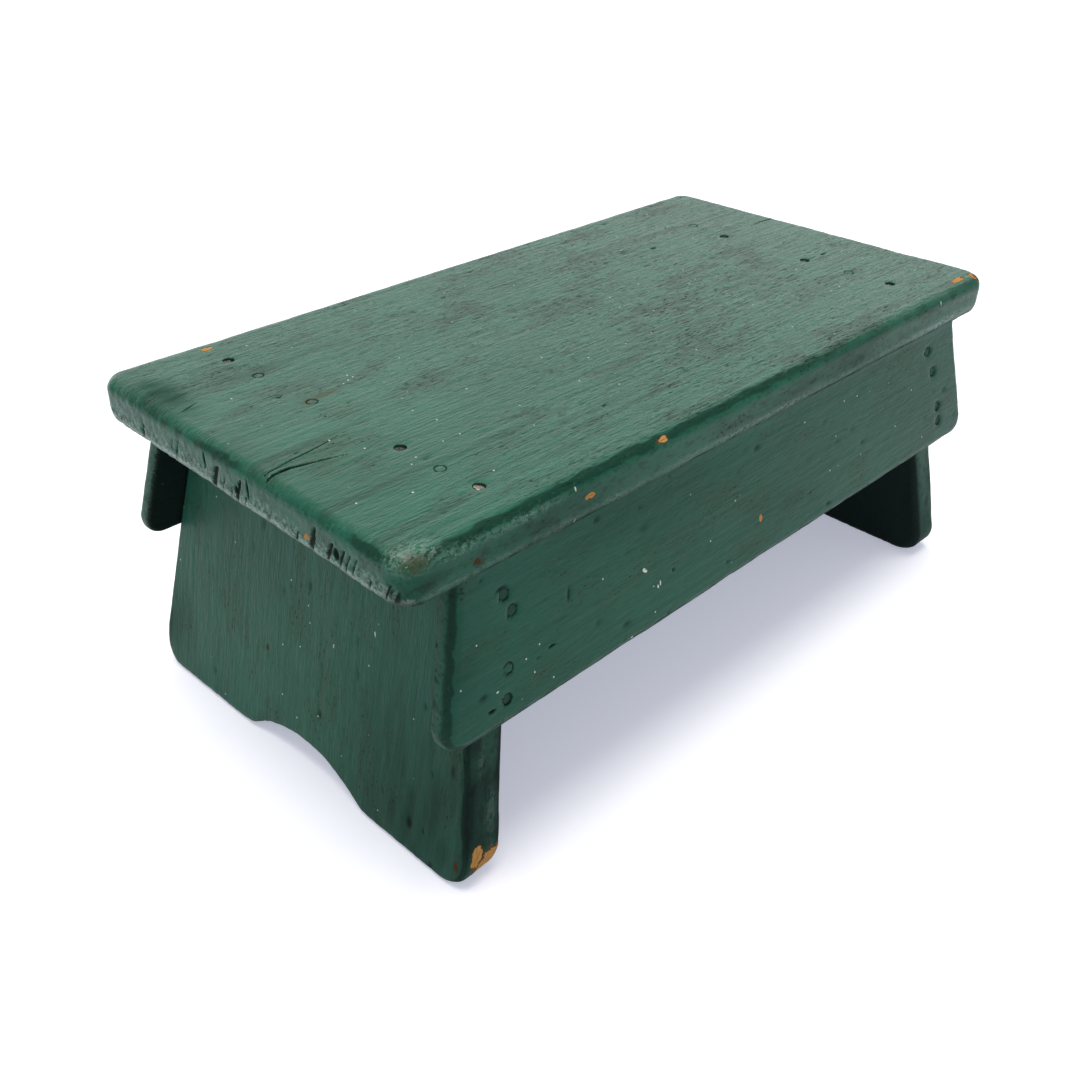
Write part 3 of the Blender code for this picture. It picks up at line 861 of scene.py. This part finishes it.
def build_board(board, place, wear, sizes, marks, cracks, nails, seed, adjust=None):
    """The worn mesh of a board. Place puts its points in the frame, and adjust trims its shape."""
    points, quads = ruled_block(board)
    mesh = bpy.data.meshes.new("board")
    mesh.from_pydata(points.tolist(), [], quads.tolist())
    head_radius = sizes.nail_head / 2
    form = bmesh.new()
    form.from_mesh(mesh)
    if board.end_tear == 1:
        cut_finer(form, end_spots(board), END_CUTS)
    cut_finer(form, nail_spots(nails, head_radius, board.half_thickness), NAIL_CUTS)
    cut_finer(form, rim_spots(nails, head_radius, board.half_thickness), NAIL_CUTS)
    cut_finer(form, mark_spots(marks, cracks, board.half_thickness), MARK_CUTS)
    block = np.array([vert.co for vert in form.verts])
    own, gap = shape_board(board, block)
    if adjust:
        adjust(own)
    for vert, spot in zip(form.verts, place(own)):
        vert.co = spot
    if form.calc_volume(signed=True) < 0:
        bmesh.ops.reverse_faces(form, faces=form.faces)
    form.normal_update()
    relief, fields = wear_board(board, own, gap, wear, marks, cracks, nails, seed, head_radius)
    for vert, height in zip(form.verts, relief):
        vert.co += vert.normal * height
    form.to_mesh(mesh)
    form.free()
    for label, values in fields.items():
        keep_field(mesh, label, values)
    fibre = np.ascontiguousarray(fibre_place(board, own), np.float32)
    mesh.attributes.new("fibre", "FLOAT_VECTOR", "POINT").data.foreach_set("vector", fibre.ravel())
    mesh.shade_smooth()
    mesh.set_sharp_from_angle(angle=SHARP_ANGLE)
    return mesh


def add_node(tree, kind, settings=None, inputs=None):
    """Add a shader node with its settings, and with each input set to a value or linked to a socket."""
    node = tree.nodes.new(kind)
    for name, value in (settings or {}).items():
        setattr(node, name, value)
    for socket, value in (inputs or {}).items():
        if isinstance(value, bpy.types.NodeSocket):
            tree.links.new(value, node.inputs[socket])
        else:
            node.inputs[socket].default_value = value
    return node


def opaque(colour):
    return (*colour, 1.0)


def fresh_material(name):
    """A new material, its tree and its shader."""
    material = bpy.data.materials.new(name)
    material.use_nodes = True
    return material, material.node_tree, material.node_tree.nodes["Principled BSDF"]


def painted_pine(name, paint, colours, gloss, shine, polish, grain):
    """Oil enamel brushed by hand over planed pine, decades old.

    The thick film follows the raised grain and keeps its brush strokes, so its gloss breaks up
    into fine streaks along the board, and paler and darker streaks on their ridges and troughs are
    painted highlight and painted shade. It is worn thin and brownish where hands and feet wear it,
    chalky along the edges with a painted highlight on the lower edges and torn ends, darkened in
    every hollow and on the inner faces by painted shade and some dirt, with a line of painted shade
    along the rounded top edge, and chipped to orange pine at the corners.
    """
    material, tree, shader = fresh_material(name)
    field = {}
    for label in PAINT_FIELDS:
        field[label] = add_node(tree, "ShaderNodeAttribute", {"attribute_name": label}).outputs["Fac"]
    fibre = add_node(tree, "ShaderNodeAttribute", {"attribute_name": "fibre"}).outputs["Vector"]
    for label, (along, across) in PAINT_PATTERNS.items():
        scale = (1 / (along * MM), 1 / (across * MM), 1 / (across * MM))
        spread = add_node(tree, "ShaderNodeMapping", inputs={"Vector": fibre, "Scale": scale})
        noise = add_node(tree, "ShaderNodeTexNoise", inputs={
            "Vector": spread.outputs["Vector"], **PATTERN_DETAIL})
        field[label] = noise.outputs["Fac"]
    drops = add_node(tree, "ShaderNodeTexVoronoi", {"voronoi_dimensions": "2D"}, {
        "Vector": fibre, "Scale": 1 / (DROP_SPACING * MM)})

    # Where the film is worn, where it stands in coarse ridges, and where some drops lie: each
    # between two levels of a pattern, with its least value
    drop_end, drop_whole = [radius / DROP_SPACING for radius in DROP_RADII]
    spreads = (
        ("worn", field["patches"], 0.50, 0.68, 0.0),
        ("coarse", field["patches"], 0.34, 0.62, 0.2),
        ("drop", drops.outputs["Distance"], drop_end, drop_whole, 0.0),
        ("some", drops.outputs["Color"], 0.62, 0.80, 0.0),
    )
    for label, source, start, end, least in spreads:
        field[label] = add_node(tree, "ShaderNodeMapRange", SMOOTH, {
            "Value": source, "From Min": start, "From Max": end, "To Min": least}).outputs["Result"]

    # Ridges lie flat where the paint flowed or was rubbed smooth, and chips and stains get a
    # ragged rim, flecks a crumbled one
    level = add_node(tree, "ShaderNodeMath", LARGER, {
        0: field["flowed"], 1: field["smooth"]}).outputs[0]
    ridged = add_node(tree, "ShaderNodeMath", TIMES_PLUS, {0: level, 1: -0.85, 2: 1.0}).outputs[0]
    torn = add_node(tree, "ShaderNodeMath", TIMES_PLUS, {
        0: field["ragged"], 1: 3.0, 2: -0.6}).outputs[0]
    limits = {"coarse": ridged, "bare": torn, "rust": torn, "thin": torn, "fleck": field["crumbs"]}
    for label, limit in limits.items():
        field[label] = add_node(tree, "ShaderNodeMath", TIMES, {0: field[label], 1: limit}).outputs[0]

    # Each coat shows between two levels of its pattern, up to a share of the whole, and only
    # inside another field where one is named. It has a colour and a roughness of its own.
    # Paler and darker paint: random tone, and painted highlight and painted shade where the coats below
    # lay them on ridges and troughs
    pale_tone_and_highlight = [1.5 * part for part in paint]
    deep = [0.45 * part for part in paint]
    coats = (
        ("mottle", 0.30, 0.70, 0.40, None, pale_tone_and_highlight, gloss),
        # Paler and darker streaks on the ridges and troughs of the strokes and ripples: painted highlight
        # and painted shade
        ("strokes", 0.52, 0.68, 0.60 * grain, "coarse", pale_tone_and_highlight, gloss - 0.05),
        ("strokes", 0.47, 0.33, 0.60 * grain, "coarse", deep, gloss + 0.05),
        ("ripples", 0.53, 0.66, 0.80 * grain, "coarse", pale_tone_and_highlight, gloss - 0.05),
        ("ripples", 0.46, 0.33, 0.85 * grain, "coarse", deep, gloss + 0.08),
        ("growth", 0.35, 0.70, 0.45, "worn", colours.thin_paint, gloss + 0.1),
        ("figure", 0.56, 0.70, 0.45 * grain, None, deep, gloss + 0.05),
        ("patches", 0.50, 0.70, 0.32 * grain, None, deep, gloss + 0.05),
        # Painted shade along the rounded top edge, then blots and specks in the paint that flowed there
        ("shaded_edge_line", 0.10, 0.80, 0.95, None, deep, gloss + 0.2),
        ("blots", 0.56, 0.68, 0.45, "flowed", colours.grime_and_shade, gloss + 0.15),
        ("specks", 0.52, 0.66, 0.55, "flowed", deep, gloss + 0.1),
        ("ragged", 0.56, 0.72, 0.35, "flowed", pale_tone_and_highlight, gloss + 0.1),
        # Chalky paint, and painted highlight with white glints, on the lower edge and torn ends
        ("ragged", 0.40, 0.56, 0.90, "rubbed_and_highlit", colours.chalk_and_highlight_paint, gloss + 0.15),
        ("rubbed_and_highlit", 0.70, 0.95, 0.75, None, colours.chalk_and_highlight_paint, gloss + 0.15),
        ("crumbs", 0.58, 0.66, 0.70, "rubbed_and_highlit", colours.fleck, gloss + 0.15),
        ("thin", 0.10, 0.45, 0.85, None, colours.thin_paint, gloss + 0.1),
        ("specks", 0.60, 0.68, 0.75, "worn", colours.grime_and_shade, 0.6),
        ("pores", 0.57, 0.66, 0.90 * grain, "coarse", colours.grime_and_shade, 0.6),
        ("drop", 0.00, 1.00, 0.90, "some", colours.fleck, 0.6),
        # Dirt, and painted shade in hollows and on inner faces
        ("grime_and_shade", 0.00, 1.00, 0.92, None, colours.grime_and_shade, 0.8),
        ("bare", 0.14, 0.24, 1.00, None, colours.dark_wood, 0.8),
        ("bare", 0.22, 0.30, 1.00, None, colours.bare_wood, 0.7),
        ("growth", 0.48, 0.66, 0.80, "bare", colours.dark_wood, 0.7),
        ("rust", 0.12, 0.40, 0.90, None, colours.rust, 0.8),
        ("fleck", 0.16, 0.22, 1.00, None, colours.fleck, 0.6),
    )
    film, rough = opaque(paint), gloss
    for source, start, end, most, inside, colour, dullness in coats:
        share = add_node(tree, "ShaderNodeMapRange", SMOOTH, {
            "Value": field[source], "From Min": start, "From Max": end, "To Max": most}).outputs["Result"]
        if inside:
            share = add_node(tree, "ShaderNodeMath", TIMES, {0: share, 1: field[inside]}).outputs[0]
        film = add_node(tree, "ShaderNodeMix", COLOUR_MIX, {
            0: share, 6: film, 7: opaque(colour)}).outputs[2]
        rough = add_node(tree, "ShaderNodeMix", inputs={0: share, 2: rough, 3: dullness}).outputs[0]

    height = 0.0
    for source, rise in PAINT_RELIEF.items():
        height = add_node(tree, "ShaderNodeMath", TIMES_PLUS, {
            0: field[source], 1: rise * MM, 2: height}).outputs[0]
    relief = add_node(tree, "ShaderNodeBump", inputs={
        "Strength": ridged, "Distance": 0.25 + grain, "Height": height})
    tree.links.new(film, shader.inputs["Base Color"])
    tree.links.new(rough, shader.inputs["Roughness"])
    tree.links.new(relief.outputs["Normal"], shader.inputs["Normal"])
    shader.inputs["Specular IOR Level"].default_value = shine
    if polish:
        shiny = add_node(tree, "ShaderNodeMapRange", SMOOTH, {
            "Value": rough, "From Min": gloss + 0.02, "From Max": gloss + 0.22,
            "To Min": polish, "To Max": 0.0}).outputs["Result"]
        buffed = add_node(tree, "ShaderNodeMath", TIMES, {0: field["polish"], 1: shiny})
        tree.links.new(buffed.outputs[0], shader.inputs["Coat Weight"])
        tree.links.new(relief.outputs["Normal"], shader.inputs["Coat Normal"])
        shader.inputs["Coat Roughness"].default_value = gloss
    return material


def painted_iron(name, paint, colours):
    """Drawn wire nails under brushed enamel, their heads hammered flat.

    Most heads show as green discs. On some the paint has flaked off in blotches, over brown rust
    with a few scoured spots that glint.
    """
    material, tree, shader = fresh_material(name)
    worn = add_node(tree, "ShaderNodeAttribute", {"attribute_name": "worn"}).outputs["Fac"]
    place = add_node(tree, "ShaderNodeTexCoord").outputs["Object"]
    blotch = add_node(tree, "ShaderNodeTexNoise", inputs={
        "Vector": place, "Scale": 1 / (NAIL_BLOTCH * MM), "Detail": 3.0}).outputs["Fac"]
    pitted = add_node(tree, "ShaderNodeTexNoise", inputs={
        "Vector": place, "Scale": 1 / (NAIL_PIT * MM), "Detail": 2.0}).outputs["Fac"]
    flaked = add_node(tree, "ShaderNodeMath", {"operation": "ADD"}, {0: worn, 1: blotch}).outputs[0]
    open_iron = add_node(tree, "ShaderNodeMapRange", SMOOTH, {
        "Value": flaked, "From Min": 0.85, "From Max": 1.05}).outputs["Result"]
    scoured = add_node(tree, "ShaderNodeMath", TIMES_PLUS, {0: worn, 1: 0.3, 2: pitted}).outputs[0]
    bright = add_node(tree, "ShaderNodeMapRange", SMOOTH, {
        "Value": scoured, "From Min": 0.70, "From Max": 0.78}).outputs["Result"]
    dark_rust = opaque([0.45 * part for part in colours.rust])
    dark_paint = opaque([0.5 * part for part in paint])
    metal = add_node(tree, "ShaderNodeMix", COLOUR_MIX, {
        0: bright, 6: dark_rust, 7: opaque(colours.iron)}).outputs[2]
    skin = add_node(tree, "ShaderNodeMix", COLOUR_MIX, {
        0: open_iron, 6: dark_paint, 7: metal}).outputs[2]
    tree.links.new(skin, shader.inputs["Base Color"])
    hard = add_node(tree, "ShaderNodeMath", TIMES, {0: open_iron, 1: bright}).outputs[0]
    tree.links.new(hard, shader.inputs["Metallic"])
    shader.inputs["Specular IOR Level"].default_value = 0.12
    rough = add_node(tree, "ShaderNodeMapRange", inputs={
        "Value": pitted, "From Min": 0.3, "From Max": 0.7,
        "To Min": 0.32, "To Max": 0.6}).outputs["Result"]
    tree.links.new(rough, shader.inputs["Roughness"])
    height = add_node(tree, "ShaderNodeMath", TIMES, {
        0: pitted, 1: NAIL_PIT_DEPTH * MM}).outputs[0]
    relief = add_node(tree, "ShaderNodeBump", inputs={"Strength": 1.0, "Distance": 1.0, "Height": height})
    tree.links.new(relief.outputs["Normal"], shader.inputs["Normal"])
    return material


def straight_and_glossy(tree):
    """1 for rays straight from the eye, or else 0, and 1 for rays that a gloss sends on, or else 0."""
    path = add_node(tree, "ShaderNodeLightPath").outputs
    straight = add_node(tree, "ShaderNodeMath", LARGER, {
        0: path["Is Camera Ray"], 1: path["Is Transmission Ray"]}).outputs[0]
    return straight, path["Is Glossy Ray"]


def lit_floor(name, stage):
    """Matt white paper that runs into a white background to the eye, and keeps a soft shadow."""
    material, tree, shader = fresh_material(name)
    straight, glossy = straight_and_glossy(tree)
    seen = add_node(tree, "ShaderNodeMath", LARGER, {0: straight, 1: glossy}).outputs[0]
    sheet = add_node(tree, "ShaderNodeMix", COLOUR_MIX, {
        0: seen, 6: opaque(stage.bounce_colour), 7: opaque(stage.floor_colour)}).outputs[2]
    tree.links.new(sheet, shader.inputs["Base Color"])
    tree.links.new(seen, shader.inputs["Emission Strength"])
    shader.inputs["Emission Color"].default_value = opaque(stage.glow_colour)
    shader.inputs["Roughness"].default_value = 1.0
    shader.inputs["Specular IOR Level"].default_value = 0.0
    return material


def white_studio(name, stage):
    """White all round to the eye. Gloss finds a bright wall behind the stool and a dim room."""
    world = bpy.data.worlds.new(name)
    world.use_nodes = True
    tree = world.node_tree
    straight, glossy = straight_and_glossy(tree)
    direction = add_node(tree, "ShaderNodeTexCoord").outputs["Generated"]
    up = add_node(tree, "ShaderNodeSeparateXYZ", inputs={0: direction}).outputs["Z"]
    back = add_node(tree, "ShaderNodeVectorMath", {"operation": "DOT_PRODUCT"}, {
        0: direction, 1: BACK_WALL}).outputs["Value"]
    wall = add_node(tree, "ShaderNodeMapRange", SMOOTH, {
        "Value": back, "From Min": 0.15, "From Max": 0.75, "To Min": 0.12}).outputs["Result"]
    ceiling = add_node(tree, "ShaderNodeMapRange", SMOOTH, {
        "Value": up, "From Min": 0.45, "From Max": 0.75,
        "To Min": 1.0, "To Max": 0.1}).outputs["Result"]
    sweep = add_node(tree, "ShaderNodeMath", TIMES, {0: wall, 1: ceiling}).outputs[0]
    fill = opaque([stage.sky_strength * part for part in stage.sky_colour])
    light = add_node(tree, "ShaderNodeMix", COLOUR_MIX, {0: glossy, 6: fill, 7: sweep}).outputs[2]
    shown = add_node(tree, "ShaderNodeMix", COLOUR_MIX, {0: straight, 6: light, 7: WHITE}).outputs[2]
    tree.links.new(shown, tree.nodes["Background"].inputs["Color"])
    return world


def nail_mesh(node, sizes, worn, seed):
    """A finished nail: a slightly domed and hammered head, a round shank and a cut point."""
    head, axis, length = nail_pose(node)
    radius = sizes.nail_head / 2
    shank = sizes.nail_shank / 2
    thick = sizes.nail_head_thickness
    profile = [(share * radius, depth * MM) for share, depth in NAIL_HEAD_PROFILE]
    profile += [
        (0.99 * radius, 0.7 * thick), (0.9 * radius, thick), (1.3 * shank, thick),
        (shank, 1.4 * thick), (shank, 0.5 * length), (shank, length - sizes.nail_point),
        (0.15 * shank, length),
    ]
    form = bmesh.new()
    rings = []
    across = Vector(axis).orthogonal().normalized()
    over = Vector(axis).cross(across)
    for ring_radius, depth in profile:
        ring = []
        for step in range(NAIL_SIDES):
            turn = 2 * pi * step / NAIL_SIDES
            spoke = cos(turn) * across + sin(turn) * over
            ring.append(form.verts.new(Vector(head) + spoke * ring_radius + Vector(axis) * depth))
        rings.append(ring)
    for upper, lower in zip(rings[:-1], rings[1:]):
        for step in range(NAIL_SIDES):
            after = (step + 1) % NAIL_SIDES
            form.faces.new((upper[step], upper[after], lower[after], lower[step]))
    form.faces.new(reversed(rings[0]))
    form.faces.new(rings[-1])
    bmesh.ops.recalc_face_normals(form, faces=form.faces)
    form.normal_update()
    points = np.array([vert.co for vert in form.verts])
    hammered = HAMMER_DEPTH * lattice_noise(points, HAMMER_CELL, seed)
    on_head = (points - head) @ axis < 0.9 * thick
    for vert, height in zip(form.verts, np.where(on_head, hammered, 0)):
        vert.co += vert.normal * height
    mesh = bpy.data.meshes.new(node)
    form.to_mesh(mesh)
    form.free()
    keep_field(mesh, "worn", np.full(len(points), worn))
    mesh.shade_smooth()
    mesh.set_sharp_from_angle(angle=SHARP_ANGLE)
    return mesh


def stool_settings(context):
    """The user's sizes, wear and colours."""
    scene = context.scene
    return scene.stool_sizes, scene.stool_wear, scene.stool_colours


class STOOL_OT_seat(Operator):
    """Build the worn seat board"""
    bl_idname = "stool.seat"
    bl_label = "Seat board"

    def execute(self, context):
        sizes, wear, colours = stool_settings(context)
        board = seat_form(sizes)
        width = board.high - board.low
        nails = [(*nail_pose(node)[0][:2], head_wear(node)) for node in nails_of("seat_")]

        def place(own):
            u, v, w = own.T
            out_of_square = wear.skew * smooth_step(u, 0, board.half_length) * (0.5 - v / width)
            return np.stack([u + out_of_square, v, w + SEAT_MIDDLE], axis=1)

        mesh = build_board(board, place, wear, sizes, SEAT_MARKS, SEAT_CRACKS, nails, wear.seed)
        material = painted_pine("seat_enamel_brushed_on_pine", colours.seat_paint, colours,
                                gloss=0.27, shine=0.12, polish=0.50, grain=1.0)
        add_piece("painted_seat_board", mesh, "seat_board", material)
        return {"FINISHED"}


class STOOL_OT_legs(Operator):
    """Build the two splayed end boards"""
    bl_idname = "stool.legs"
    bl_label = "End boards"

    def execute(self, context):
        sizes, wear, colours = stool_settings(context)
        board = leg_form(sizes)
        top_middle = leg_outer_top(sizes) - leg_span(sizes) / 2
        material = painted_pine("leg_enamel_brushed_on_pine", colours.leg_paint, colours,
                                gloss=0.40, shine=0.11, polish=0.0, grain=0.22)
        marks = {"left": LEFT_LEG_MARKS, "right": RIGHT_LEG_MARKS}
        for side, sign in SIDES.items():
            left = side == "left"

            def place(own):
                u, v, w = own.T
                below = (SEAT_LOW.z - v) / SEAT_LOW.z
                middle = top_middle + tan(sizes.splay) * SEAT_LOW.z * below
                feet_out = (wear.spread + wear.twist * u / board.half_length) * below
                out_of_true = feet_out if left else wear.lean * (1 - below)
                rear = np.clip(u / board.half_length, 0, 1) * smooth_step(below, 0.4, 1.0)
                across = u - left * wear.narrow * rear
                return np.stack([sign * (middle + w + out_of_true), across, v], axis=1)

            mesh = build_board(board, place, wear, sizes, marks[side], (), (),
                               wear.seed + LEG_SEED_STEPS[side], lambda own: lift_arch(own, sizes))
            add_piece(f"painted_{side}_leg", mesh, f"{side}_leg_board", material)
        return {"FINISHED"}


class STOOL_OT_aprons(Operator):
    """Build the two leaning side boards"""
    bl_idname = "stool.aprons"
    bl_label = "Aprons"

    def execute(self, context):
        sizes, wear, colours = stool_settings(context)
        board = apron_form(sizes)
        depth = board.high - board.low
        top_middle = apron_outer_top(sizes) - apron_span(sizes) / 2
        material = painted_pine("apron_enamel_brushed_on_pine", colours.apron_paint, colours,
                                gloss=0.36, shine=0.11, polish=0.0, grain=0.20)
        marks = {"front": FRONT_APRON_MARKS, "rear": REAR_APRON_MARKS}
        for face, sign in FACES.items():
            drop = wear.drop if face == "rear" else 0.0

            def place(own):
                u, v, w = own.T
                middle = top_middle + tan(sizes.flare) * (SEAT_LOW.z - v)
                bridge = sizes.fit_gap + wear.paint_lip * smooth_step(w, 0, board.half_thickness)
                joined = bridge * smooth_step(v, board.high - 2 * MM, board.high)
                deeper = drop * (0.5 - u / board.half_length / 2) * (board.high - v) / depth
                return np.stack([u, sign * (middle + w), v + joined - deeper], axis=1)

            nails = [(*nail_pose(node)[0][::2], head_wear(node)) for node in nails_of(face + "_apron")]
            mesh = build_board(board, place, wear, sizes, marks[face], (), nails,
                               wear.seed + APRON_SEED_STEPS[face])
            add_piece(f"painted_{face}_apron", mesh, f"{face}_apron", material)
        return {"FINISHED"}


class STOOL_OT_nails(Operator):
    """Build the driven nails"""
    bl_idname = "stool.nails"
    bl_label = "Nails"

    def execute(self, context):
        sizes, wear, colours = stool_settings(context)
        material = painted_iron("wire_nail_iron_painted_over", colours.seat_paint, colours)
        for number, node in enumerate(nails_of("")):
            mesh = nail_mesh(node, sizes, head_wear(node), wear.seed + NAIL_SEED_STEP + number)
            add_piece("driven_" + node, mesh, node, material)
        return {"FINISHED"}


class STOOL_OT_stage(Operator):
    """Build the floor, light and camera"""
    bl_idname = "stool.stage"
    bl_label = "Stage"

    def execute(self, context):
        scene = context.scene
        stage = scene.stool_stage
        bpy.ops.mesh.primitive_plane_add(size=FLOOR_SIZE)
        floor = context.object
        floor.name = "studio_floor"
        floor.data.materials.append(lit_floor("matt_white_floor", stage))
        scene.world = white_studio("white_studio", stage)

        lamp = bpy.data.lights.new("broad_key_light", "SUN")
        lamp.color = stage.sun_colour
        lamp.energy = stage.sun_strength
        lamp.angle = stage.sun_width
        key = bpy.data.objects.new("broad_key_light", lamp)
        scene.collection.objects.link(key)
        key.rotation_euler = Vector(SUN_PLACE).to_track_quat("Z", "Y").to_euler()

        lens = bpy.data.cameras.new("photograph")
        lens.lens = CAMERA_LENS
        lens.sensor_width = CAMERA_SENSOR
        camera = bpy.data.objects.new("photograph", lens)
        scene.collection.objects.link(camera)
        camera.location = CAMERA_PLACE
        camera.rotation_euler = CAMERA_TURN
        scene.camera = camera
        scene.view_settings.view_transform = "Standard"
        return {"FINISHED"}


class STOOL_PT_panel(Panel):
    """Lists the stool's pieces and settings in the sidebar"""
    bl_idname = "STOOL_PT_panel"
    bl_label = "Step Stool"
    bl_space_type = "VIEW_3D"
    bl_region_type = "UI"
    bl_category = "Step Stool"

    def draw(self, context):
        layout = self.layout
        for operator in OPERATORS:
            layout.operator(operator.bl_idname)
        for group, (label, _) in GROUPS.items():
            box = layout.box()
            box.label(text=label)
            settings = getattr(context.scene, group)
            for name in settings.bl_rna.properties.keys():
                if name not in ("rna_type", "name"):
                    box.prop(settings, name)


OPERATORS = (STOOL_OT_seat, STOOL_OT_legs, STOOL_OT_aprons, STOOL_OT_nails, STOOL_OT_stage)
GROUPS = {
    "stool_sizes": ("Sizes", StoolSizes), "stool_wear": ("Wear", StoolWear),
    "stool_colours": ("Colours", StoolColours), "stool_stage": ("Studio", StoolStage),
}
CLASSES = (StoolSizes, StoolWear, StoolColours, StoolStage, *OPERATORS, STOOL_PT_panel)


def register():
    for item in CLASSES:
        bpy.utils.register_class(item)
    for name, (_, group) in GROUPS.items():
        setattr(bpy.types.Scene, name, PointerProperty(type=group))


def unregister():
    for name in GROUPS:
        delattr(bpy.types.Scene, name)
    for item in reversed(CLASSES):
        bpy.utils.unregister_class(item)


def main():
    register()
    bpy.ops.stool.seat()
    bpy.ops.stool.legs()
    bpy.ops.stool.aprons()
    bpy.ops.stool.nails()
    bpy.ops.stool.stage()


if __name__ == "__main__":
    main()
